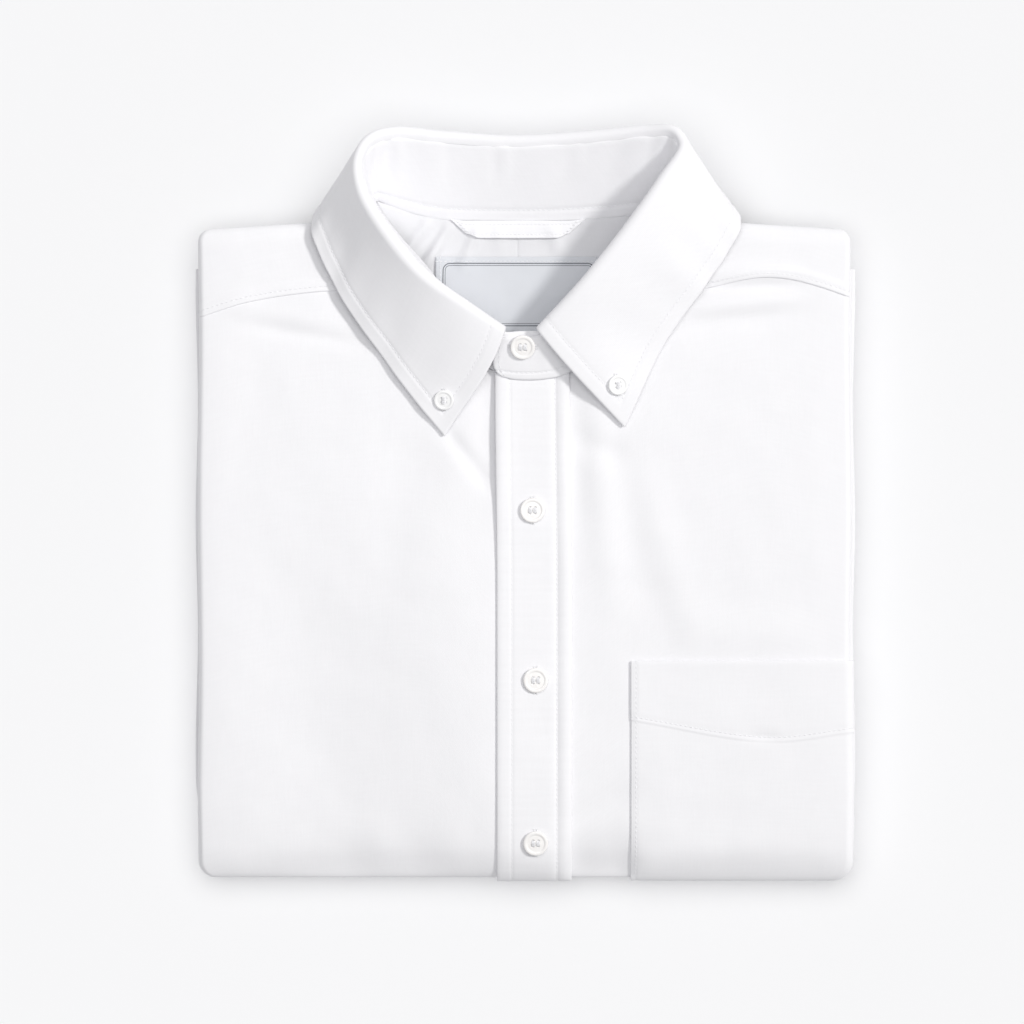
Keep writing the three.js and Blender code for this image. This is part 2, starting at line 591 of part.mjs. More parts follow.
function insideYoke(name, side) {
  const [columns, rows] = [7, 9];
  const geometry = wallOf(columns, rows, (i, j, layer) => {
    const edgeY = lerp(insideFrontY, side > 0 ? 135.8 : 139, j / rows);
    const edge = tableAt(insideSides, "y", side > 0 ? "right" : "left", edgeY);
    const x = lerp(yokeSeamX + side * (seamGap / 2), edge, i / columns);
    const y = lerp(insideFrontY, tableAt(insideBack, "x", "y", x), j / rows);
    const z = insideMiddleZ(x, y) + (layer ? -clothWall / 2 : clothWall / 2);
    return new THREE.Vector3(x, y, z);
  });
  addPiece(name, geometry, "cloth");
}
insideYoke("yoke_inside_right", -1);
insideYoke("yoke_inside_left", 1);

// ---------------------------------------------------------------- placket and pocket

// The placket covers the fronts' meeting line above, goes round the bottom fold and on underneath.

function placket() {
  const rows = frontRows({
    startY: () => placketTopY,
    openRows: evenly(18),
    topAngles: foldTopAngles,
    underAngles: [84, 66, 40, 0],
    underEnds: [0.5, 1],
  });
  const standOff = (row) => (row.face > 0 || row.lift < 0.5 ? 1 : 1 - smoothstep(row.lift, 0.4, 1));
  const columns = 4;
  const geometry = wallOf(columns, rows.length - 1, (i, j, layer) => {
    const row = rows[j];
    const inset = (layer ? placketWall : 0) - (patchGap + placketWall) * standOff(row);
    const y = row.y(0, inset);
    const x = placketMiddleX(row.face > 0 ? y : bottomY) + lerp(-placketHalf, placketHalf, i / columns);
    const z = row.face > 0 ? upperZ(x, y) - inset : inset;
    return new THREE.Vector3(x, y, partingZ + (z - partingZ) * row.lift);
  });
  addPiece("placket", geometry, "cloth");
}
placket();

// The pocket's mouth hem is turned and stitched down along a shallow point.
const pocketBand = [{ x: 49, y: -99.8 }, { x: 110.4, y: -109.8 }, { x: 149.8, y: -105.6 }];
const pocketColumns = columnShares(8, 5, 1.8);

function pocket() {
  const bandY = (x) => tableAt(pocketBand, "x", "y", x);
  const rows = frontRows({
    startY: () => pocketTopY,
    openRows: [],
    topAngles: foldTopAngles,
    underAngles: [84, 66, 48],
    underEnds: [],
  });
  const bandRows = evenly(3).map((share) => ({
    face: 1, lift: 1, band: true, y: (x) => lerp(pocketTopY, bandY(x), share),
  }));
  const lowerRows = evenly(6).map((share) => ({
    face: 1, lift: 1, y: (x) => lerp(bandY(x) - 0.8, bottomY + foldRoundTop, share),
  }));
  const outer = (column, row) => -patchGap - pocketWall - (row.band ? hemBandExtra : 0);
  const inner = () => -patchGap;
  const allRows = [...bandRows, ...lowerRows, ...rows];
  addPiece("chest_pocket", skinWall(1, () => pocketLeftX, pocketColumns, allRows, outer, inner), "cloth");
}
pocket();

// ---------------------------------------------------------------- collar

const lineThrough = (points) =>
  new THREE.CatmullRomCurve3(points.map((p) => new THREE.Vector3(...p)), false, "centripetal");
const seamLine = lineThrough(collarStations.map((s) => s.seam));
const crestLine = lineThrough(collarStations.map((s) => s.crest));
const edgeLine = lineThrough(collarStations.map((s) => s.edge));
const bendLine = lineThrough(collarStations.map((s, i) => [i, s.roll, s.crown]));

// The collar's own directions at share t of its length: up the stand, and out of the neck.
function collarFrame(t) {
  const seam = seamLine.getPoint(t);
  const crest = crestLine.getPoint(t);
  const edge = edgeLine.getPoint(t);
  const up = crest.clone().sub(seam).normalize();
  const step = 0.004;
  const before = crestLine.getPoint(Math.max(0, t - step)).add(seamLine.getPoint(Math.max(0, t - step)));
  const after = crestLine.getPoint(Math.min(1, t + step)).add(seamLine.getPoint(Math.min(1, t + step)));
  const out = new THREE.Vector3().crossVectors(after.sub(before).normalize(), up).normalize();
  if (out.dot(edge.clone().sub(crest)) < 0) out.negate();
  const bend = bendLine.getPoint(t);
  return { crest, edge, up, out, roll: bend.y, crown: bend.z };
}

// Middle of the leaf's cloth. v: 0 to 0.1 up from the stand, to 0.4 over the roll, to 1 down to the edge.
function leafMiddle(t, v) {
  const { crest, edge, up, out, roll, crown } = collarFrame(t);
  const legTop = crest.clone().addScaledVector(up, -roll);
  if (v <= 0.1) return legTop.clone().addScaledVector(up, -lerp(standShort - roll - 1.05, 0, v / 0.1));
  const centre = legTop.clone().addScaledVector(out, roll);
  const fall = edge.clone().sub(centre).normalize();
  const lastTurn = Math.atan2(fall.dot(out), fall.dot(up));
  const turnTo = (turn) => centre.clone()
    .addScaledVector(out, -roll * Math.cos(turn))
    .addScaledVector(up, roll * Math.sin(turn));
  if (v <= 0.4) return turnTo(lerp(0, lastTurn, (v - 0.1) / 0.3));
  const start = turnTo(lastTurn);
  const heading = out.clone().multiplyScalar(Math.sin(lastTurn)).addScaledVector(up, Math.cos(lastTurn));
  const reach = start.distanceTo(edge);
  const lastPull = edge.clone().lerp(start, 0.34).addScaledVector(out, crown);
  const atPoint = Math.max(1 - smoothstep(t, 0.03, 0.19), 0.7 * smoothstep(t, 0.84, 0.97)); // the points lie flatter
  lastPull.z = lerp(lastPull.z, edge.z + 0.9, 0.85 * atPoint);
  const curve = new THREE.CubicBezierCurve3(
    start,
    start.clone().addScaledVector(heading, reach * 0.36),
    lastPull,
    edge,
  );
  return curve.getPoint((v - 0.4) / 0.6);
}

// Unit normal of a surface given as a function of two shares.
function normalOf(surface, t, v, step = 0.003) {
  const [t0, t1] = [Math.max(0, t - step), Math.min(1, t + step)];
  const [v0, v1] = [Math.max(0, v - step), Math.min(1, v + step)];
  const along = surface(t1, v).sub(surface(t0, v));
  return along.cross(surface(t, v1).sub(surface(t, v0))).normalize();
}

const leafShares = [0, 0.1, 0.17, 0.24, 0.31, 0.4, 0.52, 0.65, 0.78, 0.9, 1];
const stationSteps = (collarStations.length - 1) * stationSplit;

function collarLeaf() {
  const geometry = wallOf(leafShares.length - 1, stationSteps, (i, j, layer) => {
    const [t, v] = [j / stationSteps, leafShares[i]];
    const normal = normalOf(leafMiddle, t, v);
    return leafMiddle(t, v).addScaledVector(normal, layer ? -leafWall / 2 : leafWall / 2);
  });
  addPiece("collar_leaf", geometry, "cloth");
}
collarLeaf();

// The stand goes round with the leaf, and its ends lap over each other at the front under the neck button.
const lap = 1.35; // half the distance between the middles of the lapped ends
const underEnd = [
  { seam: [9, 62.4, 28.1], crest: [8, 81.6, 32.6] },
  { seam: [-4, 62.0, 27.8], crest: [-2, 81.4, 32.2] },
];
const overEnd = [
  { seam: [8, 59.4, 25.9], crest: [0, 80.2, 32.0] },
  { seam: [-4, 59.2, 25.8], crest: [-7, 80.4, 31.8] },
  { seam: [-14.4, 60.6, 25.6], crest: [-13.6, 80.6, 32.4] },
];
const standStations = [...underEnd, ...collarStations, ...overEnd];
const standSeam = lineThrough(standStations.map((s) => s.seam));
const standCrest = lineThrough(standStations.map((s) => s.crest));
const standSteps = 50;

function standMiddle(t, v) {
  const seam = standSeam.getPoint(t);
  const up = standCrest.getPoint(t).sub(seam);
  const height = up.length() - standShort;
  const lapOut = new THREE.Vector3(0, -0.66, 0.75);
  const under = 1 - smoothstep(t, 0.09, 0.19);
  const over = smoothstep(t, 0.84, 0.9);
  return seam
    .addScaledVector(up.normalize(), height * v)
    .addScaledVector(lapOut, lap * (over - under));
}

function collarStand() {
  const shares = [0, 0.22, 0.78, 1];
  const geometry = wallOf(shares.length - 1, standSteps, (i, j, layer) => {
    const v = shares[i];
    const share = j / standSteps;
    const t = share - 0.012 * (2 * v - 1) ** 4 * smoothstep(share, 0.96, 1);
    const normal = normalOf(standMiddle, t, v);
    return standMiddle(t, v).addScaledVector(normal, layer ? -standWall / 2 : standWall / 2);
  });
  addPiece("collar_stand", geometry, "cloth");
}
collarStand();

// ---------------------------------------------------------------- hanger loop and label

const loopWall = 1.0;
const loopTape = 7.2;
const loopHalf = { seam: 30.5, foot: 23.5 }; // half lengths along the neck seam and along its lower edge
const loopTopY = 130.6;

// A tape across the inside of the yoke, its ends caught in the neck seam, standing a little off the cloth.
function hangerLoop() {
  const columns = 14;
  const geometry = wallOf(columns, 2, (i, j, layer) => {
    const across = lerp(-1, 1, i / columns);
    const down = j / 2;
    const x = yokeSeamX + across * lerp(loopHalf.seam, loopHalf.foot, down);
    const endRise = smoothstep(Math.abs(across), 0.78, 1);
    const y = loopTopY - 0.9 * (1 - endRise) - loopTape * down * (1 - 0.15 * endRise);
    const stand = seamGap + 1.3 * (1 - across ** 4) * lerp(0.5, 1, down);
    const z = insideMiddleZ(x, y) + clothWall / 2 + stand + (layer ? 0 : loopWall);
    return new THREE.Vector3(x, y, z);
  });
  addPiece("hanger_loop", geometry, "cloth");
}
hangerLoop();

const labelSize = { width: 75, height: 34, wall: 1.0 };
const labelTopY = 113.2;

function neckLabel() {
  const [columns, rows] = [8, 4];
  const geometry = wallOf(columns, rows, (i, j, layer) => {
    const x = yokeSeamX + lerp(-0.5, 0.5, i / columns) * labelSize.width;
    const y = labelTopY - (labelSize.height * j) / rows;
    const z = insideMiddleZ(x, y) + clothWall / 2 + seamGap + (layer ? 0 : labelSize.wall);
    return new THREE.Vector3(x, y, z);
  });
  addPiece("neck_label", geometry, "label");
}
neckLabel();

// ---------------------------------------------------------------- buttons

const buttonSegments = 16;
const holeSides = 5;

// A four-hole shirt button: rounded rim, dished middle, standing on z = 0.
function buttonGeometry(across) {
  const radius = across / 2;
  const thick = across * 0.22;
  const profile = [
    [0, 0], [radius * 0.86, 0], [radius, thick * 0.45], [radius * 0.93, thick],
    [radius * 0.74, thick], [radius * 0.6, thick * 0.68], [0, thick * 0.62],
  ].map(([r, z]) => new THREE.Vector2(r, z));
  const disc = new THREE.LatheGeometry(profile, buttonSegments).rotateX(Math.PI / 2);
  let solid = toManifold(facingOut(mergeVertices(stripped(disc), 1e-4)));
  const [holeRadius, holePitch] = [across * 0.075, across * 0.14];
  for (const [sx, sy] of [[1, 1], [1, -1], [-1, 1], [-1, -1]]) {
    const drill = new THREE.CylinderGeometry(holeRadius, holeRadius, thick * 4, holeSides);
    drill.rotateX(Math.PI / 2).translate(sx * holePitch, sy * holePitch, 0);
    solid = solid.subtract(toManifold(drill));
  }
  return fromManifold(solid);
}

function stripped(geometry) {
  const bare = geometry.clone();
  bare.deleteAttribute("normal");
  bare.deleteAttribute("uv");
  return bare;
}

function addButton(name, across, point, normal) {
  const mesh = addPiece(name, buttonGeometry(across), "button");
  mesh.quaternion.setFromUnitVectors(new THREE.Vector3(0, 0, 1), normal);
  mesh.position.copy(point).addScaledVector(normal, buttonGap);
}

for (const { name, x, y } of frontButtons) {
  const placketZ = (px, py) => {
    const share = clamp((bottomY + foldRoundTop - py) / foldRoundTop, 0, 1);
    const skinZ = partingZ + (upperZ(px, py) - partingZ) * Math.sqrt(1 - share ** 2);
    return skinZ + seamGap + placketWall;
  };
  const step = frontButtonAcross / 2;
  const slopeX = (placketZ(x + step, y) - placketZ(x - step, y)) / (2 * step);
  const slopeY = (placketZ(x, y + step) - placketZ(x, y - step)) / (2 * step);
  const normal = new THREE.Vector3(-slopeX, -slopeY, 1).normalize();
  addButton(name, frontButtonAcross, new THREE.Vector3(x, y, placketZ(x, y) + 0.25), normal);
}

// Where a surface of two shares passes under (x, y), looking only between the given shares.
function shareUnder(surface, x, y, [tLow, tHigh], [vLow, vHigh]) {
  let best = { gap: Infinity };
  for (const i of evenly(60)) {
    for (const j of evenly(60)) {
      const [t, v] = [lerp(tLow, tHigh, i), lerp(vLow, vHigh, j)];
      const p = surface(t, v);
      const gap = Math.hypot(p.x - x, p.y - y);
      if (gap < best.gap) best = { gap, t, v };
    }
  }
  return best;
}

function buttonOn(surface, wallThick, { name, x, y }, across, tRange, vRange) {
  const { t, v } = shareUnder(surface, x, y, tRange, vRange);
  const normal = normalOf(surface, t, v, 0.02);
  if (normal.z < 0) normal.negate();
  addButton(name, across, surface(t, v).addScaledVector(normal, wallThick / 2 + 0.15), normal);
}
buttonOn(leafMiddle, leafWall, collarButtons[0], collarButtonAcross, [0, 0.15], [0.5, 1]);
buttonOn(leafMiddle, leafWall, collarButtons[1], collarButtonAcross, [0.85, 1], [0.5, 1]);
buttonOn(standMiddle, standWall, neckButton, frontButtonAcross, [0.86, 1], [0.1, 0.9]);

// The origin is under the middle of the whole shirt's box.
const middle = new THREE.Box3().setFromObject(shirt, true).getCenter(new THREE.Vector3());
shirt.position.set(-middle.x, -middle.y, 0);

export default shirt;
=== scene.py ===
import math

import bpy
import numpy as np
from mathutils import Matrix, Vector


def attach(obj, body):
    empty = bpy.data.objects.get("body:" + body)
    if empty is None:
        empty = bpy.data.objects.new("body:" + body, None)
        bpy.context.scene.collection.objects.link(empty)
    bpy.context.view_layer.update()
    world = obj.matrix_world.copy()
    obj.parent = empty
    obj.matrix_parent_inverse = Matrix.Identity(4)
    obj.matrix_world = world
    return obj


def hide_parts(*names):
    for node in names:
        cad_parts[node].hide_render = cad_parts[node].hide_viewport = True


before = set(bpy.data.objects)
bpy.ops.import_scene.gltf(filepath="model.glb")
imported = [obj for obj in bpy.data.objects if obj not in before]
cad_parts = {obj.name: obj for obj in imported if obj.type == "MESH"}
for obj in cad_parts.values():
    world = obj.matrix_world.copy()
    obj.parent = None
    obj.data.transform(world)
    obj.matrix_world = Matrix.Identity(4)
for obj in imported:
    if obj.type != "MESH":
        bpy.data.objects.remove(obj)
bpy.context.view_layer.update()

# ------------------------------------------------------------------ table, light and camera
# The shirt lies on a plain pale table in a white room. The key lamp is up and to the right, and a wide
# strip straight above evens the light. A third lamp lights the table alone, to keep the shadow on it faint.
# The camera looks straight down from far off, so that the pack's edges stay parallel.

TABLE_HALF, TABLE_TOP = 9, -0.0002
table_corners = [(x * TABLE_HALF, y * TABLE_HALF, TABLE_TOP) for x, y in ((-1, -1), (1, -1), (1, 1), (-1, 1))]
table_mesh = bpy.data.meshes.new("table")
table_mesh.from_pydata(table_corners, [], [(0, 1, 2, 3)])
table = bpy.data.objects.new("table", table_mesh)
bpy.context.collection.objects.link(table)


def start_finish(name, settings):
    """A new material with its shader's plain settings made, and its nodes, links and shader."""
    finish = bpy.data.materials.new(name)
    finish.use_nodes = True
    nodes, links = finish.node_tree.nodes, finish.node_tree.links
    shader = nodes["Principled BSDF"]
    for setting, value in settings.items():
        shader.inputs[setting].default_value = value
    return finish, nodes, links, shader


table_paint = start_finish("table_paint", {
    "Base Color": (0.93, 0.93, 0.935, 1), "Roughness": 0.9, "Specular IOR Level": 0.1})[0]
table_mesh.materials.append(table_paint)

room = bpy.data.worlds.new("white_room")
room.use_nodes = True
room.node_tree.nodes["Background"].inputs["Color"].default_value = (0.99, 0.99, 1.0, 1)
room.node_tree.nodes["Background"].inputs["Strength"].default_value = 0.435
bpy.context.scene.world = room
bpy.context.scene.view_settings.view_transform = "Standard"

STRIP_WIDTH, STRIP_DEPTH, LAMP_PLACE = 0.7, 0.3, (-0.03, 0.20, 0.85)
for lamp_name, power, spread, toward, tint, on_table in (
    ("key_lamp", 1.66, 9, (0.76, 0.30, 0.86), (1.0, 0.99, 0.97), False),
    ("strip_lamp", 2.15, None, (0.0, 0.0, 1.0), (0.99, 0.99, 1.0), False),
    ("table_lamp", 1.83, 80, (0.0, 0.20, 1.0), (1.0, 1.0, 1.0), True),
):
    lamp_data = bpy.data.lights.new(lamp_name, "SUN" if spread else "AREA")
    lamp_data.energy = power
    if spread:
        lamp_data.angle = math.radians(spread)
    else:
        lamp_data.shape, lamp_data.size, lamp_data.size_y = "RECTANGLE", STRIP_WIDTH, STRIP_DEPTH
    lamp_data.color = tint
    lamp = bpy.data.objects.new(lamp_name, lamp_data)
    lamp.rotation_euler = Vector(toward).to_track_quat("Z", "Y").to_euler()
    lamp.location = LAMP_PLACE
    lamp.visible_camera = False
    bpy.context.collection.objects.link(lamp)
    lit = bpy.data.collections.new(lamp_name + "_lights")
    lit.objects.link(table)
    lit.collection_objects[0].light_linking.link_state = "INCLUDE" if on_table else "EXCLUDE"
    lamp.light_linking.receiver_collection = lit

camera_data = bpy.data.cameras.new("camera")
camera_data.sensor_width = 36
camera_data.lens = 191.3
camera = bpy.data.objects.new("camera", camera_data)
camera.location = (-0.00705, -0.00364, 2.524)
bpy.context.collection.objects.link(camera)
bpy.context.scene.camera = camera

# ------------------------------------------------------------------ folded layers
# Back, sleeves, side turnings and tail are folded flat inside the pack, one oxford cloth throughout.
# Their edges show in the slit between the pack's two halves and, in four plies, at its top end.

SIDE_X, BOTTOM_Y, SHOULDER_Y, SHOULDER_DROP, HEM_Y = 149.8, -172.8, 130.1, 4.2, 117.0
PARTING_Z, PARTING_GAP, TOP_Z, CROWN = 10.8, 3.2, 21.6, 2.6
SIDE_ROUND, CORNER_ROUND, FOLD_TOP, FOLD_UNDER = 3.0, 8.0, 15.0, 9.0
PLY, RIGHT_OUT, LEFT_OUT, EDGE_WAVER = 1.2, 1.3, 0.2, 0.35

# Soft folds of the fronts, each as x, y, direction in degrees, half length, half width, rise in millimetres.
LARGE_FOLDS = [
    (-17, 34, 90, 28, 6, -1.0), (-29, 34, 82, 24, 8, 0.6), (-27, 21, -53, 17, 4, -1.3),
    (-30, -80, 100, 84, 30, 2.6), (-98, -95, 100, 74, 26, -1.7), (-58, 2, 84, 40, 13, -0.8),
    (-98, 77, -9, 30, 4, -1.0), (-112, 86, -11, 24, 5, 0.5), (-80, 88, -50, 18, 6, -0.8),
    (-122, 40, 84, 60, 18, -0.5), (35.6, 0, 94, 46, 8, 1.3), (49, -14, 100, 46, 8, -0.5), (24, 20, 92, 30, 6, -0.9),
    (65, -26, 106, 36, 9, 0.9), (28, 40, 20, 12, 6, 0.7), (110, 10, 88, 60, 30, 0.6),
    (64, -52, -70, 18, 9, -0.5), (101, 106.5, -2, 25, 4.5, 1.2), (102, 99, 3, 26, 4, -1.5),
    (99, 92, 5, 28, 4.5, 1.1), (98, 84.5, 6, 28, 5, -1.0), (99, -60, 2, 30, 11, 1.3),
    (-108, -160, 82, 13, 9, 0.4), (-83, -164, 96, 13, 8, -0.5), (-67, -162, 88, 12, 7, 0.35),
    (-50, -165, 84, 13, 7, -0.5), (-33, -160, 93, 14, 8, 0.35), (43, -165, 95, 13, 8, -0.45),
    (66, -160, 88, 13, 10, 0.35), (92, -164, 94, 12, 9, -0.4), (34, -140, 28, 20, 7, -1.2),
    (35, -171, 0, 17, 13, -5.0), (-70, -172, 1, 50, 12, -3.2), (96, -158, 4, 30, 8, 0.8), (96, -175, 2, 44, 9, -1.3),
    (34, 25, -20, 11, 6, -1.3),
]


def smooth(value, low, high):
    """0 below low, 1 above high, and an even S between them."""
    s = np.clip((np.asarray(value, float) - low) / (high - low), 0, 1)
    return s * s * (3 - 2 * s)


def hump(value, half):
    """A soft rise of 1 at zero that is nearly gone at twice the half width."""
    return np.exp(-((value / half) ** 2))


def fold_relief(x, y, folds):
    """Height that a table of soft folds adds."""
    total = np.zeros(np.broadcast(x, y).shape)
    for fx, fy, turn, reach, width, rise in folds:
        c, s = math.cos(math.radians(turn)), math.sin(math.radians(turn))
        along, across = (x - fx) * c + (y - fy) * s, (y - fy) * c - (x - fx) * s
        total = total + rise * hump(across, width) * np.exp(-((along / reach) ** 4))
    return total


def plain_top(x, y):
    """Height of the pack's top without its folds: crowned, lower at the sides, the bottom fold and the neck."""
    dip = -6 * hump(x + 67, 17) * hump(y - 137, 19) - 3.4 * hump(x - 78, 15) * hump(y - 137, 17)
    falling = 1.6 * (np.clip(-40 - y, 0, 133) / 133) ** 2 + 3.2 * (np.clip(-132 - y, 0, 41) / 41) ** 2
    side_fall = 0.9 * (np.clip(np.abs(x) - 130, 0, 20) / 20) ** 2
    return TOP_Z + CROWN * (1 - (x / SIDE_X) ** 2) + dip - falling - side_fall


# Cloth is never quite flat: 26 faint waves of 9 to 45 mm, the same ones each time.
WAVE_COUNT, WAVE_TURN, WAVE_SLOPE = 26, 6.283, 0.0028
wave_seed = np.random.default_rng(7)
wave_draws = [wave_seed.uniform(low, high, WAVE_COUNT) for low, high in ((9, 45), (0, math.pi), (0, 6.28))]
WAVES = [(length, turn, phase, WAVE_SLOPE * length) for length, turn, phase in zip(*wave_draws)]


def faint_waves(x, y):
    total = 0
    for length, turn, phase, rise in WAVES:
        along = x * math.cos(turn) + y * math.sin(turn)
        across = y * math.cos(turn) - x * math.sin(turn)
        total = total + rise * np.sin(WAVE_TURN * along / length + phase + 1.3 * np.sin(across / length))
    return total


def top_of_cloth(x, y):
    """Height of the fronts' outer face, with its folds, which fade out at the side folds."""
    near_side = smooth(SIDE_X - np.abs(x), SIDE_ROUND, SIDE_ROUND + 14)
    folds = fold_relief(x, y, LARGE_FOLDS) + 0.3 * faint_waves(x, y)
    return plain_top(x, y) + folds * near_side


def deepest_dip(x, y):
    """How far the fronts dip at x or at -x, for the hidden layers, whose halves are alike, to keep below them."""
    dips = [top_of_cloth(at, y) - plain_top(at, y) for at in (x, -x)]
    return np.minimum(np.minimum(*dips), 0)


def corner_cut(radius, from_end):
    """How far a corner of that radius draws the side in, at a distance from the pack's end."""
    left = np.clip(radius - from_end, 0, radius)
    return radius - np.sqrt(np.maximum(radius**2 - left**2, 0))


def half_width(y, face, side=1):
    """The pack's half width at y: the upper half's edge wavers, and it stands out more on the right front."""
    return SIDE_X + (RIGHT_OUT if side < 0 else LEFT_OUT) - EDGE_WAVER * ((1 - np.cos(y / 23)) if face > 0 else 1)


def in_frame(points):
    """Millimetres on the shirt's own lines to metres in the frame."""
    return (np.asarray(points, float) - (0.85, -0.49, 0)) / 1000


def add_mesh(name, points, quads, material, grain=None):
    """A smooth mesh of four-sided faces, facing out, with its place on the cloth's grain as UV."""
    a, b, c, d = (points[quads[:, i]] for i in range(4))
    swept = np.einsum("ij,ij->", np.cross(a, b), c) + np.einsum("ij,ij->", np.cross(a, c), d)
    if swept < 0:
        quads = quads[:, ::-1]
    mesh = bpy.data.meshes.new(name)
    mesh.vertices.add(len(points))
    mesh.vertices.foreach_set("co", in_frame(points).ravel())
    mesh.loops.add(quads.size)
    mesh.loops.foreach_set("vertex_index", quads.ravel().astype(np.int32))
    mesh.polygons.add(len(quads))
    mesh.polygons.foreach_set("loop_start", np.arange(0, quads.size, 4, dtype=np.int32))
    mesh.polygons.foreach_set("use_smooth", np.ones(len(quads), bool))
    mesh.update(calc_edges=True)
    if grain is not None:
        layer = mesh.uv_layers.new(name="grain")
        layer.data.foreach_set("uv", (grain[quads.ravel()] / 1000).ravel())
    mesh.materials.append(material)
    piece = bpy.data.objects.new(name, mesh)
    bpy.context.collection.objects.link(piece)
    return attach(piece, "root")


def grid_quads(index):
    """Faces of a grid of point numbers."""
    return np.stack([index[:-1, :-1], index[:-1, 1:], index[1:, 1:], index[1:, :-1]], -1).reshape(-1, 4)


def roll_quads(index):
    """Faces of a grid of point numbers whose last column meets its first."""
    return grid_quads(np.concatenate([index, index[:, :1]], axis=1))


def unit(vectors):
    """The vectors, each one long."""
    return vectors / np.maximum(np.linalg.norm(vectors, axis=-1, keepdims=True), 1e-9)


def facing(middle):
    """Unit normals of a grid of points."""
    return unit(np.cross(np.gradient(middle, axis=1), np.gradient(middle, axis=0)))


RIM_TURNS = np.radians([35, 65, 90])
RIM_SHARES = [max(math.cos(turn), 0.04) for turn in RIM_TURNS]


def add_cloth(name, middle, wall, material):
    """Cloth of a given wall about a grid of its middle, with its raw rim turned over round."""
    half = np.broadcast_to(np.asarray(wall, float) / 2, middle.shape[:2])
    for axis in (0, 1):
        m, h = np.moveaxis(middle, axis, 0), np.moveaxis(half, axis, 0)
        first_way, last_way = unit(m[0] - m[1]), unit(m[-1] - m[-2])
        before = [m[0] + first_way * h[0][..., None] * math.sin(t) for t in RIM_TURNS][::-1]
        after = [m[-1] + last_way * h[-1][..., None] * math.sin(t) for t in RIM_TURNS]
        m = np.concatenate([before, m, after])
        h = np.concatenate([[h[0] * k for k in RIM_SHARES[::-1]], h, [h[-1] * k for k in RIM_SHARES]])
        middle, half = np.moveaxis(m, 0, axis), np.moveaxis(h, 0, axis)
    rows, columns = half.shape
    normal = facing(middle)
    points = np.concatenate([(middle + normal * half[..., None]).reshape(-1, 3),
                             (middle - normal * half[..., None]).reshape(-1, 3)])
    index = np.arange(rows * columns).reshape(rows, columns)
    quads = [grid_quads(index), grid_quads(index + rows * columns)[:, ::-1]]
    for line, turned in ((index[0], 1), (index[-1], 0), (index[:, 0], 0), (index[:, -1], 1)):
        rim = np.stack([line[:-1], line[1:], line[1:] + rows * columns, line[:-1] + rows * columns], -1)
        quads.append(rim[:, ::-1] if turned else rim)
    quads = np.concatenate(quads)
    across = np.cumsum(np.linalg.norm(np.diff(middle, axis=1, prepend=middle[:, :1]), axis=-1), axis=1)
    along = np.cumsum(np.linalg.norm(np.diff(middle, axis=0, prepend=middle[:1]), axis=-1), axis=0)
    across = across - across[:, columns // 2][:, None]
    grain = np.stack([across, along], -1).reshape(-1, 2)
    return add_mesh(name, points, quads, material, np.concatenate([grain, grain]))


def add_sum(nodes, links, kind, first, second=None):
    """A sum of sockets or numbers, as a socket."""
    node = nodes.new("ShaderNodeMath")
    node.operation = kind
    for socket, value in zip(node.inputs, (first, second)):
        if isinstance(value, (int, float)):
            socket.default_value = value
        elif value is not None:
            links.new(value, socket)
    return node.outputs[0]


def add_bump(nodes, links, shader, height, strength, distance):
    """Fine relief on a material from a height's socket."""
    bumped = nodes.new("ShaderNodeBump")
    bumped.inputs["Strength"].default_value = strength
    bumped.inputs["Distance"].default_value = distance
    links.new(height, bumped.inputs["Height"])
    links.new(bumped.outputs[0], shader.inputs["Normal"])


def add_shades(nodes, links, amount, dark, pale, low=0.0, high=1.0):
    """Colours from dark to pale as an amount goes from low to high, as a socket."""
    shades = nodes.new("ShaderNodeValToRGB")
    for element, position, colour in zip(shades.color_ramp.elements, (low, high), (dark, pale)):
        element.position, element.color = position, (*colour, 1)
    links.new(amount, shades.inputs["Fac"])
    return shades.outputs[0]


def place_on_grain(nodes, links):
    """The cloth's own place from its grain: the whole socket, and across and along it."""
    grain = nodes.new("ShaderNodeUVMap")
    grain.uv_map = "grain"
    parts = nodes.new("ShaderNodeSeparateXYZ")
    links.new(grain.outputs["UV"], parts.inputs[0])
    return grain.outputs["UV"], parts.outputs[0], parts.outputs[1]


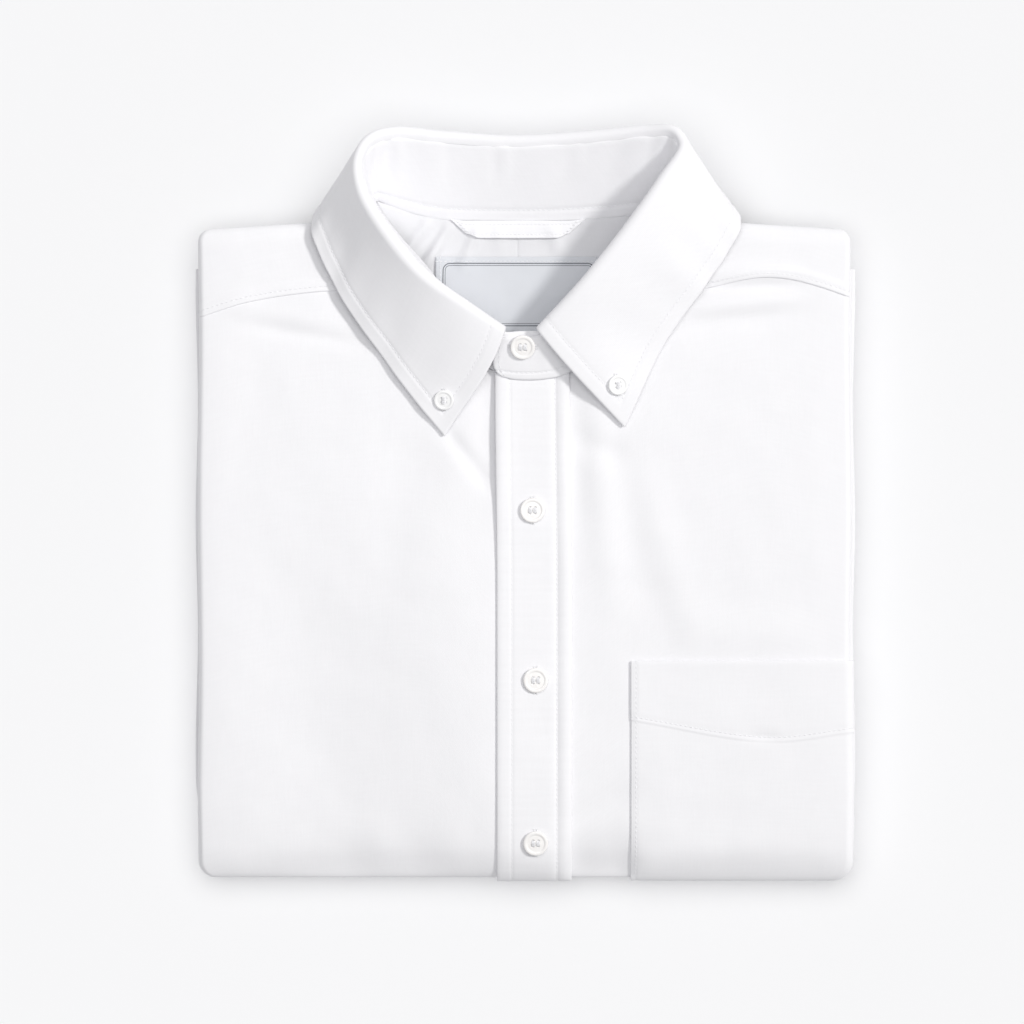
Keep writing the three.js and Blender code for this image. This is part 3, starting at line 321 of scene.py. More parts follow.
def oxford_cloth(name, white, weave_mm=0.62, bump=0.22):
    """Cotton oxford: pairs of warp threads under a thicker weft, with slubs, a dull face and a faint sheen."""
    cloth, nodes, links, shader = start_finish(name, {
        "Roughness": 0.88, "Specular IOR Level": 0.22, "Sheen Weight": 0.12, "Sheen Roughness": 0.5})
    sums = lambda kind, first, second=None: add_sum(nodes, links, kind, first, second)

    def slubs(stretch, scale, seed):
        mapping = nodes.new("ShaderNodeMapping")
        mapping.inputs["Scale"].default_value = (*stretch, 1)
        mapping.inputs["Location"].default_value = (seed, seed * 0.7, seed)
        links.new(grain, mapping.inputs["Vector"])
        noise = nodes.new("ShaderNodeTexNoise")
        noise.inputs["Scale"].default_value = scale
        noise.inputs["Detail"].default_value = 2
        links.new(mapping.outputs[0], noise.inputs["Vector"])
        return noise.outputs["Fac"]

    grain, *ways = place_on_grain(nodes, links)
    threads = [sums("SINE", sums("MULTIPLY", way, 6283.2 / weave_mm)) for way in ways]
    basket = sums("MULTIPLY", *threads)
    warp, weft = slubs((1, 0.12), 900, 3.1), slubs((0.1, 1), 760, 8.3)
    slub = sums("ADD", warp, weft)
    mottle = slubs((1, 1), 260, 1.7)
    height = sums("ADD", sums("MULTIPLY", basket, 0.5), sums("MULTIPLY", slub, 0.9))
    add_bump(nodes, links, shader, height, bump, 0.00012)
    tone = sums("ADD", sums("MULTIPLY", slub, 0.5), sums("MULTIPLY", mottle, 0.12))
    tone = sums("ADD", tone, sums("MULTIPLY", basket, 0.06))
    dark, pale = [0.975 * v for v in white], [min(1.01 * v, 1) for v in white]
    links.new(add_shades(nodes, links, tone, dark, pale, low=0.35), shader.inputs["Base Color"])
    return cloth


oxford = oxford_cloth("white_oxford", (0.902, 0.899, 0.92))

INNER_INSET, HOLLOW_ROOM, UPPER_END_Y, FLAT_COUNT = PLY + 0.8, 1.3, 108.0, 24
side_angles = np.radians([80, 62, 48, 34, 20, 8, -5, -18, -34, -50, -68])


def inner_section(y, extra):
    """Right half of the inner layers' outline at y, from the middle of the top round to the underside."""
    inset = INNER_INSET + extra
    from_end = y - BOTTOM_Y - inset
    lifts = [math.sqrt(1 - min(max(1 - from_end / (r - inset), 0), 1) ** 2) for r in (FOLD_TOP, FOLD_UNDER)]
    round_x = SIDE_ROUND - inset
    corner = float(corner_cut(CORNER_ROUND - inset, from_end))
    turn_x = half_width(y, -1) - EDGE_WAVER - inset - corner - round_x
    opened = float(smooth(y - BOTTOM_Y, FOLD_TOP - 8, FOLD_TOP + 30))
    lip = 0.5 + (PARTING_GAP / 2 - 0.5) * opened
    halves = {}
    for face in (1, -1):
        outer = float(plain_top(turn_x, y)) if face > 0 else 0.0
        centre = PARTING_Z + ((outer + PARTING_Z + face * lip) / 2 - PARTING_Z) * opened
        half = abs(outer - centre)
        last = math.asin(min(max(face * (PARTING_Z + face * lip - centre) / half, -1), 1))
        turned = math.pi / 2 + (last - math.pi / 2) * (math.pi / 2 - side_angles) / math.pi
        turned = np.append(turned, last)
        depth = face * (half - inset)
        halves[face] = [(turn_x + round_x * math.cos(a), centre + depth * math.sin(a)) for a in turned]
    flat_x = turn_x * np.linspace(0, 1, FLAT_COUNT)
    flat_z = plain_top(flat_x, y) + deepest_dip(flat_x, y) - inset - HOLLOW_ROOM * smooth(turn_x - flat_x, 0, 20)
    flat = [(float(x), float(z)) for x, z in zip(flat_x, flat_z)]
    root = turn_x + round_x + (-3.5 - round_x) * opened - 0.2 * (1 - opened)
    plies = []
    for ply, (reach, z) in enumerate(((4.6, 1.45), (5.6, 0.0), (4.2, -1.4))):
        out = turn_x + round_x + (reach + 0.5 * math.sin(y / 17 + ply * 2) - round_x) * opened
        for dz, back in ((0.62, 0.7), (0.35, 0.15), (-0.35, 0.15), (-0.62, 0.7)):
            plies.append((out - back * opened, PARTING_Z + (z + dz) * (0.25 + 0.75 * opened)))
        plies.append((out - 2.2 * opened, PARTING_Z + (z - 0.7) * (0.25 + 0.75 * opened)))
    upper = flat + halves[1] + [(root, PARTING_Z + lip)]
    lower = [(root, PARTING_Z - lip)] + halves[-1][::-1]
    lower += [(turn_x * s, inset) for s in np.linspace(1, 0, FLAT_COUNT)]
    upper, lower = ([(x, PARTING_Z + (z - PARTING_Z) * lift) for x, z in part]
                    for part, lift in zip((upper, lower), lifts))
    return np.array(upper + plies + lower)


def inner_half(side):
    """One side of the inner layers: outlines from the bottom fold up to the shoulder, drawn in at their end."""
    near = BOTTOM_Y + INNER_INSET + np.array([0.5, 1.2, 2.2, 3.6, 5.4, 7.6, 10, 13])
    rings = []
    drawn_in = {UPPER_END_Y: 1.2, UPPER_END_Y - 0.9: 0.5}
    for y in (*near, *np.arange(near[-1] + 3, UPPER_END_Y - 1.2, 3.2), UPPER_END_Y - 0.9, UPPER_END_Y):
        section = inner_section(y, drawn_in.get(y, 0))
        rings.append(np.stack([side * section[:, 0], np.full(len(section), y), section[:, 1]], -1))
    return np.array(rings)


inner_left, inner_right = inner_half(1), inner_half(-1)
whole = np.concatenate([inner_left, inner_right[:, ::-1]], axis=1)

# The neck well: where it starts and how deep it lies, and its two sides as y, right x, left x.
WELL_Y, WELL_FLOOR = 47.0, 11.3
WELL_SIDES = [(48, -17, 24), (62, -30, 35), (79, -45, 53), (99, -53, 69), (110, -60, 76)]


def smooth_table(at, keys, values):
    """Value on a smooth line through a table's rows."""
    keys, values = np.asarray(keys, float), np.asarray(values, float)
    slope = np.gradient(values, keys)
    slope[1:-1] = (values[2:] - values[:-2]) / (keys[2:] - keys[:-2])
    k = np.clip(np.searchsorted(keys, at) - 1, 0, len(keys) - 2)
    span = keys[k + 1] - keys[k]
    s = np.clip((at - keys[k]) / span, 0, 1)
    bend = s * (1 - s) * span * ((1 - s) * slope[k] - s * slope[k + 1])
    return values[k] + (values[k + 1] - values[k]) * s * s * (3 - 2 * s) + bend


def column_lines(at, rows):
    """Values at each place on the smooth lines through a table's columns, whose first holds the places."""
    keys, *columns = zip(*rows)
    return [smooth_table(at, keys, column) for column in columns]


# The neck well is pressed into the layers: between its sides their top lies at the well's floor.
layer_x, layer_y, layer_z = whole[..., 0], whole[..., 1], whole[..., 2]
low_side, high_side = column_lines(layer_y, WELL_SIDES)
inside = smooth(layer_x - low_side, -3.5, 0) * smooth(high_side - layer_x, -3.5, 0) * smooth(layer_y, 44, WELL_Y)
sunk = layer_z + (np.minimum(layer_z, WELL_FLOOR) - layer_z) * inside
whole[..., 2] = np.where(layer_z > PARTING_Z + 4, sunk, layer_z)

ring_count, ring_size = whole.shape[:2]
index = np.arange(ring_count * ring_size).reshape(ring_count, ring_size)
layer_points = list(whole.reshape(-1, 3))
line = index[0]
end_fans = [(line[-1 - i], line[-2 - i], line[i + 1], line[i]) for i in range(ring_size // 2 - 1)]

# The upper end is closed from the top and the underside to a middle line, and round each side from its end.
last_ring = index[-1]
end_halves = (last_ring[:ring_size // 2], last_ring[ring_size // 2:][::-1])
middle_lines = []
for half, order in zip(end_halves, (1, -1)):
    middle_line = list(range(len(layer_points), len(layer_points) + FLAT_COUNT))
    middle_lines.append(middle_line)
    layer_points += [np.array([*layer_points[i][:2], PARTING_Z]) for i in half[:FLAT_COUNT]]
    feet, faces = half[::-1], []
    for i in range(FLAT_COUNT - 1):
        faces.append((half[i], half[i + 1], middle_line[i + 1], middle_line[i]))
        faces.append((middle_line[i], middle_line[i + 1], feet[i + 1], feet[i]))
    chain = half[FLAT_COUNT - 1:len(half) - FLAT_COUNT + 1]
    faces += [(middle_line[-1], *chain[i:i + 3]) for i in range(0, len(chain) - 2, 2)]
    end_fans += [face[::order] for face in faces]
(left_half, right_half), (left_line, right_line) = end_halves, middle_lines
end_fans.append((right_half[0], left_half[0], left_line[0], right_line[0]))
end_fans.append((right_line[0], left_line[0], left_half[-1], right_half[-1]))
layer_points = np.array(layer_points)
layer_quads = np.concatenate([roll_quads(index), np.array(end_fans)])
folded_layers = add_mesh("inner_layers", layer_points, layer_quads, oxford, layer_points[:, :2])
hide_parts("folded_layers")

# The ends of the folded back: height of the ply, where it ends and its half width.
TAIL_PLIES = [(2.6, 116.2, 141), (4.3, 115.0, 142), (6.0, 116.4, 140.5), (7.7, 114.4, 141.5)]
for ply, (z, end_y, reach) in enumerate(TAIL_PLIES):
    ply_x, ply_y = np.linspace(-reach, reach, 120), np.linspace(UPPER_END_Y - 6, end_y, 10)
    grid_x, grid_y = np.meshgrid(ply_x, ply_y)
    grid_y = grid_y + (grid_y - ply_y[0]) / (end_y - ply_y[0]) * 0.7 * np.sin(grid_x / 21 + ply * 1.9)
    grid_z = z + 0.22 * np.sin(grid_x / 13 + ply) + 0.1 * np.sin(grid_y / 2 + ply)
    tail = add_cloth(f"tail_ply_{ply + 1}", np.stack([grid_x, grid_y, grid_z], -1), 1.35, oxford)
    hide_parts("folded_layers")

# ------------------------------------------------------------------ fronts
# The two fronts, cut from white oxford, meet under the placket and turn over the side folds.
# They go round the bottom fold and on underneath to where the tail ends.

# The fronts meet at x 3.8, and their top edges go through these places, x and y.
FRONT_LINE_X, PLACKET_HALF = 3.8, 16.6
RIGHT_TOP = [(-149.8, 85.6), (-129, 92.2), (-104, 96.4), (-80, 98.2), (-43, 99.6),
             (-30.6, 79.6), (-20, 63.6), (-12, 59.9), (5, 59.6)]
LEFT_TOP = [(2, 59.6), (17, 59.8), (25, 62.8), (46, 77.6), (60, 94.6),
            (82, 98.6), (106, 103.6), (121, 103.2), (136, 99.4), (149.8, 94.6)]


def front_top_y(x, side):
    """Where a front's top edge lies at x."""
    return column_lines(x, LEFT_TOP if side > 0 else RIGHT_TOP)[0]


def placket_middle_x(y):
    """The middle of the placket at y: it leans over by 0.9 mm on its way down."""
    return FRONT_LINE_X - 0.6 + 0.9 * smooth(-y, -60, 40)


TOP_ANGLES, UNDER_ANGLES = range(5, 90, 5), (86, 78, 66, 54, 40, 26, 13, 0)


def front_rows(start_y, open_shares, under_angles, under_shares):
    """Lines down a front and round the bottom fold: (face, lift, y for x and inset)."""
    rows = []
    for share in open_shares:
        rows.append((1, 1.0, lambda x, inset, s=share: start_y(x) + (BOTTOM_Y + FOLD_TOP - start_y(x)) * s))
    for face, radius, angles in ((1, FOLD_TOP, TOP_ANGLES), (-1, FOLD_UNDER, under_angles)):
        for angle in angles:
            a = math.radians(angle)
            rows.append((face, math.cos(a), lambda x, inset, r=radius, a=a:
                         BOTTOM_Y + inset + (r - inset) * (1 - math.sin(a)) + 0 * x))
    for share in under_shares:
        rows.append((-1, 1.0, lambda x, inset, s=share:
                     BOTTOM_Y + FOLD_UNDER + (HEM_Y - BOTTOM_Y - FOLD_UNDER) * s + 0 * x))
    return rows


def round_the_side(columns, x, z, side, turn_x, round_x, centre, depth, last):
    """Columns 0 to 1 keep x and z, and 1 to 2 turn about (turn_x, centre) from the top to the last angle."""
    angle = math.pi / 2 + (last - math.pi / 2) * (columns - 1)
    turned_x, turned_z = side * (turn_x + round_x * np.cos(angle)), centre + depth * np.sin(angle)
    return np.where(columns <= 1, x, turned_x), np.where(columns <= 1, z, turned_z)


def front_skin(side, inner_x, columns, rows, inset):
    """Grid of points at a depth under the fronts' outer face. Columns 0 to 1 are flat, 1 to 2 round the side."""
    grid = []
    for number, (face, lift, y_of) in enumerate(rows):
        deep = inset[number] if np.ndim(inset) else inset
        edge_y = float(y_of(np.array(side * SIDE_X), deep))
        cut = float(corner_cut(CORNER_ROUND - deep, edge_y - BOTTOM_Y - deep))
        round_x = SIDE_ROUND - deep
        turn_x = half_width(edge_y, face, side) - deep - cut - round_x
        opened = float(smooth(edge_y - BOTTOM_Y, FOLD_TOP - 8, FOLD_TOP + 30))
        start_x = inner_x(face, lift)
        x = start_x + (side * turn_x - start_x) * np.minimum(columns, 1)
        y = y_of(x, deep)
        z = top_of_cloth(x, y) - deep if face > 0 else np.full(x.shape, deep)
        outer = float(top_of_cloth(np.array(side * turn_x), np.array(edge_y))) if face > 0 else 0.0
        lip = PARTING_Z + face * (1 + (PARTING_GAP - 1) * opened) / 2
        centre = PARTING_Z + ((outer + lip) / 2 - PARTING_Z) * opened
        half = abs(outer - centre)
        last = math.asin(min(max(face * (lip - centre) / half, -1), 1))
        x, z = round_the_side(columns, x, z, side, turn_x, round_x, centre, face * (half - deep), last)
        y = y_of(x, deep)
        grid.append(np.stack([x, y, PARTING_Z + (z - PARTING_Z) * lift], -1))
    return np.array(grid)


front_columns = np.concatenate([np.linspace(0, 1, 96), np.linspace(1, 2, 15)[1:]])
for name, side in (("front_right", -1), ("front_left", 1)):
    rows = front_rows(lambda x, s=side: front_top_y(x, s), np.linspace(0, 1, 165) ** 1.12, UNDER_ANGLES,
                      (0.02, 0.05, 0.1, 0.16, 0.3, 0.5, 0.75, 1))
    meeting = FRONT_LINE_X + side * 0.15
    beside = float(placket_middle_x(BOTTOM_Y)) + side * (PLACKET_HALF + 0.9)
    middle = front_skin(side, lambda face, lift: meeting if face > 0 or lift < 0.2 else beside,
                        front_columns, rows, PLY / 2)
    front = add_cloth(name + "_cloth", middle, PLY, oxford)
    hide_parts(name)

# ------------------------------------------------------------------ placket
# The left front's edge is turned into a band of two plies and topstitched down both sides.
# It carries the buttonholes, laps over the right front and goes on round the bottom fold.

PLACKET_WALL, PATCH_GAP, PLACKET_TOP_Y, STITCH_IN = 1.2, 0.6, 59.4, 6.2


def sewing_thread(name, shade):
    """White cotton thread, a little glossier than the cloth, with the twist showing as fine slanting ridges."""
    thread, nodes, links, shader = start_finish(name, {"Roughness": 0.55, "Sheen Weight": 0.1})
    place = nodes.new("ShaderNodeTexCoord")
    ridges = nodes.new("ShaderNodeTexWave")
    ridges.bands_direction = "DIAGONAL"
    ridges.inputs["Scale"].default_value = 900
    links.new(place.outputs["Object"], ridges.inputs["Vector"])
    add_bump(nodes, links, shader, ridges.outputs["Fac"], 0.4, 0.00006)
    shades = add_shades(nodes, links, ridges.outputs["Fac"], [0.9 * v for v in shade], shade)
    links.new(shades, shader.inputs["Base Color"])
    return thread


white_thread = sewing_thread("white_thread", (0.93, 0.93, 0.95))


def evenly_spaced(points, extra, pitch):
    """The polyline at an even pitch, with whatever runs along it."""
    run = np.concatenate([[0], np.cumsum(np.linalg.norm(np.diff(points, axis=0), axis=1))])
    at = np.arange(0, run[-1], pitch)
    pick = lambda values: np.stack([np.interp(at, run, values[:, i]) for i in range(values.shape[1])], -1)
    return pick(points), pick(extra)


# A stitch from end to end: place in lengths, thickness in radii, and height over the cloth in millimetres.
STITCH_SHAPE = [(-0.5, 0.35, -0.16), (-0.36, 0.8, 0.02), (-0.12, 1.0, 0.1),
                (0.12, 1.0, 0.1), (0.36, 0.8, 0.02), (0.5, 0.35, -0.16)]


def end_quads(rings):
    """Faces that close a round thread, from the rings of point numbers along it."""
    return [[cap[0], *cap[i:i + 3]] for cap in (rings[0][::-1], rings[-1]) for i in range(1, len(cap) - 2, 2)]


def add_stitches(name, runs, pitch=2.3, length=1.75, radius=0.17, sides=6):
    """Lockstitches along runs of (points, normals) on the cloth, each thread diving in at both ends."""
    points, quads = [], []
    for line, normals in runs:
        steps, ups = evenly_spaced(np.asarray(line, float), np.asarray(normals, float), pitch)
        for centre, up, along in zip(steps, unit(ups), unit(np.gradient(steps, axis=0))):
            over = np.cross(up, along)
            start = len(points)
            for place, swell, rise in STITCH_SHAPE:
                middle = centre + along * (place * length) + up * rise
                for k in range(sides):
                    a = 2 * math.pi * k / sides
                    points.append(middle + (over * math.cos(a) + up * math.sin(a) * 0.8) * radius * swell)
            rings = np.arange(start, len(points)).reshape(-1, sides)
            quads += [roll_quads(rings), end_quads(rings)]
    piece = add_mesh(name, np.array(points), np.concatenate(quads), white_thread)
    return piece


def close_to(low, high, step, lines=(), fine=0.4, reach=1.6):
    """Even steps from low to high, closer together beside each stitched line."""
    values = list(np.linspace(low, high, int((high - low) / step) + 1))
    for line in lines:
        values += list(np.arange(line - reach, line + reach + 0.01, fine))
    values = np.array(sorted(v for v in values if low <= v <= high))
    return values[np.concatenate([[True], np.diff(values) > 0.12])]


def seam_furrow(distance, depth=0.34, width=0.75):
    """How much of the wall is left beside a row of stitches, which draws it in."""
    return 1 - depth * hump(distance, width)


stitch_x = PLACKET_HALF - STITCH_IN
across = close_to(-PLACKET_HALF, PLACKET_HALF, 1.1, (-stitch_x, stitch_x))
placket_rows = front_rows(lambda x: PLACKET_TOP_Y + 0 * x, np.linspace(0, 1, 190), UNDER_ANGLES,
                          (0.02, 0.05, 0.1, 0.3, 0.6, 1))


def placket_grid(offsets, rows):
    """Middle of the band at each offset across it, raised at its left edge below the collar."""
    grid = []
    for face, lift, y_of in rows:
        stand_off = 1 if face > 0 or lift < 0.5 else 1 - float(smooth(lift, 0.4, 1))
        inset = PLACKET_WALL / 2 - (PATCH_GAP + PLACKET_WALL) * stand_off
        y = y_of(np.zeros(len(offsets)), inset)
        x = placket_middle_x(y if face > 0 else BOTTOM_Y) + offsets
        edge_down = 0.35 * (1 - smooth(PLACKET_HALF - np.abs(offsets), 0.1, 1.6))
        raised = 2.0 * hump(offsets + PLACKET_HALF, 6) * hump(y - 26, 34) - edge_down
        z = top_of_cloth(x, y) - inset + raised if face > 0 else np.full(x.shape, inset)
        grid.append(np.stack([x, y, PARTING_Z + (z - PARTING_Z) * lift], -1))
    return np.array(grid)


placket_middle = placket_grid(across, placket_rows)
pucker = 1 + 0.05 * np.sin(placket_middle[..., 1] * 1.3 + 3 * np.sin(placket_middle[..., 1] / 7))
drawn_in = 0.5 * hump(across - stitch_x, 1.7) + 0.14 * hump(across + stitch_x, 0.9) - 0.3 * hump(across - 13.8, 1.8)
placket_middle[..., 2] -= drawn_in * (placket_middle[..., 2] > PARTING_Z)
furrows = np.minimum(seam_furrow(across + stitch_x, 0.16), seam_furrow(across - stitch_x, 0.3))
placket_wall = PLACKET_WALL * furrows * pucker
placket = add_cloth("placket_band", placket_middle, placket_wall, oxford)
stitch_lines = placket_grid(np.array([-stitch_x, stitch_x]), [r for r in placket_rows if r[0] > 0])
stitch_lines[..., 2] -= np.interp([-stitch_x, stitch_x], across, drawn_in) * (stitch_lines[..., 2] > PARTING_Z)
runs = []
for k in (0, 1):
    line = stitch_lines[:, k]
    ups = np.stack([np.zeros(len(line)), *np.gradient(line[:, 1:], axis=0).T[::-1] * np.array([[1], [-1]])], -1)
    ups = unit(ups) * np.where(ups[:, 2:] < 0, -1, 1)
    runs.append((line + ups * (PLACKET_WALL * 0.33 + 0.02), ups))
placket_stitches = add_stitches("placket_stitches", runs)
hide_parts("placket")

# ------------------------------------------------------------------ chest pocket
# A patch of the same cloth on the left front, its mouth hem turned and stitched down along a point.
# It goes over the side fold and the bottom fold with the front that it is stitched to.

POCKET_WALL, POCKET_X, POCKET_TURN_X, POCKET_TOP_Y, POCKET_STITCH_IN = 1.0, 49.0, 141.8, -73.2, 1.8
BAND_DEPTH, BAND_STITCH, BODY_DEPTH = 27, 25.6, 57.6

# The point of the mouth's band, as places along its lower edge, x and y.
BAND = [(49, -99.8), (110.4, -109.8), (149.8, -105.6)]


def band_y(x):
    """Where the band's lower edge lies at x."""
    return column_lines(x, BAND)[0]


pocket_flat = close_to(POCKET_X, POCKET_TURN_X, 1.5, (POCKET_X + POCKET_STITCH_IN,)) - POCKET_X
pocket_columns = np.concatenate([pocket_flat / (POCKET_TURN_X - POCKET_X), np.linspace(1, 1.8, 12)[1:]])
depths = close_to(0, BAND_DEPTH + BODY_DEPTH, 1.4, (BAND_DEPTH,), fine=0.5)


def pocket_row(depth):
    """A line across the pocket: in the band it turns from the straight mouth to the band's point."""
    in_mouth, in_body = min(depth / BAND_DEPTH, 1), max((depth - BAND_DEPTH) / BODY_DEPTH, 0)
    return (1, 1.0, lambda x, inset: POCKET_TOP_Y + (band_y(x) - POCKET_TOP_Y) * in_mouth
            + (BOTTOM_Y + FOLD_TOP - band_y(x)) * in_body)


nose_rows = front_rows(lambda x: 0 * x, (), (86, 78, 66, 54, 48), ())
pocket_rows = [pocket_row(depth) for depth in depths] + nose_rows
in_band = np.concatenate([1 - smooth(depths, 26.4, 27.6), np.zeros(len(nose_rows))])
pocket_middle = front_skin(1, lambda face, lift: POCKET_X, pocket_columns, pocket_rows,
                           -PATCH_GAP - POCKET_WALL / 2 - 0.22 * in_band)
from_band = np.concatenate([depths - BAND_STITCH, np.full(len(nose_rows), 99.0)])[:, None]
from_edge = pocket_middle[..., 0] - POCKET_X - POCKET_STITCH_IN
pocket_wall = POCKET_WALL * (1 + 0.45 * in_band[:, None]) * np.minimum(seam_furrow(from_band), seam_furrow(from_edge))
tuck = 0.9 * hump(pocket_middle[..., 0] - 110, 7) * hump(pocket_middle[..., 1] + 107.5, 2.6)
edge_down = 0.45 * (1 - smooth(pocket_middle[..., 0] - POCKET_X, 0.1, 1.7))
pocket_middle[..., 2] -= tuck + edge_down * (pocket_middle[..., 2] > PARTING_Z + 3)
pocket = add_cloth("pocket_patch", pocket_middle, pocket_wall, oxford)


def along_grid(middle, wall, rows=None, columns=None):
    """A run of points and normals on the upper face of a piece, along one line of its grid."""
    normal = facing(middle)
    normal = normal * np.where(normal[..., 2:] < 0, -1, 1)
    wall = np.broadcast_to(wall, middle.shape[:2])
    pick = (slice(None), columns) if rows is None else (rows, slice(None))
    return middle[pick] + normal[pick] * (wall[pick][..., None] / 2 + 0.02), normal[pick]


band_row = int(np.argmin(np.abs(depths - BAND_STITCH)))
edge_column = int(np.argmin(np.abs(from_edge[5])))
band_run = along_grid(pocket_middle, pocket_wall, rows=band_row)
edge_run = along_grid(pocket_middle, pocket_wall, columns=edge_column)
upper = slice(0, len(depths) + 10)
pocket_stitches = add_stitches("pocket_stitches", [
    (band_run[0][:-6], band_run[1][:-6]), (edge_run[0][upper], edge_run[1][upper])])
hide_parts("chest_pocket")

# ------------------------------------------------------------------ yoke over the shoulders
# The outer yoke joins each front on top and laps over the shoulder fold to the back.
# Its seam is edge-stitched on the yoke's side.

YOKE_GAP, YOKE_DEPTH, YOKE_STITCH, SHOULDER_ROUND, SHOULDER_CORNER, UNDER_X = 0.3, 32, 1.9, 9.0, 6.0, 76.0
UPPER_LIP = PARTING_Z + PARTING_GAP / 2

# The yoke's edge at the neck on each side, as y and x.
RIGHT_NECK = [(99, -43), (110, -51), (122, -60.4), (134, -69)]
LEFT_NECK = [(94, 62.5), (104, 68.5), (121, 79.4), (133, 80)]


def shoulder_end_y(x):
    """The far end of the shoulder fold at x, which slopes down to the sides."""
    return SHOULDER_Y - SHOULDER_DROP * np.clip(np.abs(x) - 80, 0, 70) / 70


def yoke_grid(side, columns, shares, deep):
    """Middle of one side of the yoke, from its seam on top over the shoulder fold to the underside."""
    neck = LEFT_NECK if side > 0 else RIGHT_NECK
    rows = [(1, 1.0, lambda x, s=share: front_top_y(x, side) + YOKE_GAP
             + (shoulder_end_y(x) - SHOULDER_ROUND - front_top_y(x, side) - YOKE_GAP) * s) for share in shares]
    angles = np.radians(np.arange(7, 90, 8))
    for face, turns in ((1, angles), (-1, angles[::-1])):
        for turn in turns:
            inward = deep + (SHOULDER_ROUND - deep) * (1 - math.sin(turn))
            rows.append((face, math.cos(turn), lambda x, d=inward: shoulder_end_y(x) - d))
    rows += [(-1, 1.0, lambda x, d=d: shoulder_end_y(x) - SHOULDER_ROUND - d) for d in (0, 2, 5, 8)]
    grid = []
    for face, lift, y_of in rows:
        edge_y = float(y_of(np.array(side * SIDE_X)))
        from_end = float(shoulder_end_y(SIDE_X)) - deep - edge_y
        round_x = SIDE_ROUND - deep
        turn_x = half_width(edge_y, 1, side) - deep - float(corner_cut(SHOULDER_CORNER - deep, from_end)) - round_x
        opened = float(smooth(from_end, 2, 24))
        seam_x = float(column_lines(float(y_of(np.array(neck[1][1]))), neck)[0])
        neck_edge = seam_x if face > 0 else side * max(abs(seam_x), UNDER_X)
        x = neck_edge + (side * turn_x - neck_edge) * np.minimum(columns, 1)
        y = y_of(x)
        z = top_of_cloth(x, y) - deep if face > 0 else np.full(x.shape, UPPER_LIP + deep)
        outer = float(top_of_cloth(np.array(side * turn_x), np.array(edge_y)))
        centre, half = (outer + UPPER_LIP) / 2, (outer - UPPER_LIP) / 2
        last = math.radians(face * (-80 * opened - face * 0.5))
        x, z = round_the_side(columns, x, z, side, turn_x, round_x, centre, face * (half - deep), last)
        y = y_of(x)
        level = (top_of_cloth(x, y) + UPPER_LIP) / 2
        grid.append(np.stack([x, y, level + (z - level) * lift], -1))
    return np.array(grid)


for name, side in (("yoke_right_shoulder", -1), ("yoke_left_shoulder", 1)):
    depths_in = close_to(0, YOKE_DEPTH, 1.1, (YOKE_STITCH,), fine=0.45)
    columns = np.concatenate([np.linspace(0, 1, 76), np.linspace(1, 2, 16)[1:]])
    middle = yoke_grid(side, columns, depths_in / YOKE_DEPTH, PLY / 2)
    from_seam = np.linalg.norm(middle - middle[:1], axis=-1)
    wall = PLY * seam_furrow(from_seam - YOKE_STITCH, 0.35)
    middle[..., 2] += 0.8 * (1 - smooth(from_seam, 2.0, 6.5)) * (np.arange(len(middle)) < len(depths_in))[:, None]
    yoke = add_cloth(name + "_cloth", middle, wall, oxford)
    stitch_row = int(np.argmin(np.abs(np.mean(from_seam[:30], axis=1) - YOKE_STITCH)))
    run = along_grid(middle, wall, rows=stitch_row)
    stitches = add_stitches(name + "_stitches", [(run[0][:84], run[1][:84])])
    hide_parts(name)
    cut_width, cut_area = (0.108, 0.0048) if side < 0 else (0.088, 0.0037)

# ------------------------------------------------------------------ inside of the yoke
# The lining of the split yoke, in two halves joined down the middle of the back.
# It lies on the layers below and rises to the neck seam, with small drags on the right side.

YOKE_SEAM_X, INSIDE_Z, INSIDE_FRONT_Y = -3.6, WELL_FLOOR + 0.3 + PLY / 2, 49.5

# The lining's sides as y, right x, left x; its seam at the back of the neck as x, y, z; and its drags.
INSIDE_SIDES = [(49, -15.5, 22), (62, -27.5, 32.5), (79, -42.5, 50.5), (99, -49, 65.5), (110, -53.5, 70.5),
                (122, -56.8, 73.4), (133, -65, 71), (140, -68.6, 65.6)]
INSIDE_BACK = [(-69, 139.0, 13.9), (-60, 136.2, 13.6), (-38, 132.3, 13.0), (-4, 131.5, 12.7),
               (31, 132.4, 13.0), (53, 134.4, 13.7), (67, 135.6, 14.8)]
LINING_FOLDS = [(-51, 121, 52, 15, 2.2, 2.1), (-45, 119, 55, 14, 2.0, -0.9), (-39, 121, 60, 13, 2.3, 1.7),
                (-25, 119, 66, 12, 2.4, 1.3), (14, 121, 110, 9, 3, 0.8), (-47, 110, 48, 13, 2.6, 1.4),
                (-33, 114, 63, 10, 2, -0.6), (-12, 122, 95, 8, 3, 0.5)]


def lining_z(x, y):
    """Height of the lining's middle at x and y."""
    back_y, back_z = column_lines(x, INSIDE_BACK)
    near_back = smooth(back_y - y, 0, 6)
    folds = np.maximum(fold_relief(x, y, LINING_FOLDS), -0.3) * near_back
    waves = 0.25 * (faint_waves(x * 1.7, y * 1.7) + 0.3) * near_back
    return INSIDE_Z + (back_z - INSIDE_Z) * smooth(y, back_y - 22, back_y) + folds + waves


# The lining is the same white oxford made darker: painted shade for the inside of the neck, which lies in shade under
# the collar.
lining_oxford_painted_shade = oxford_cloth("lining_oxford_painted_shade", (0.78, 0.78, 0.80))

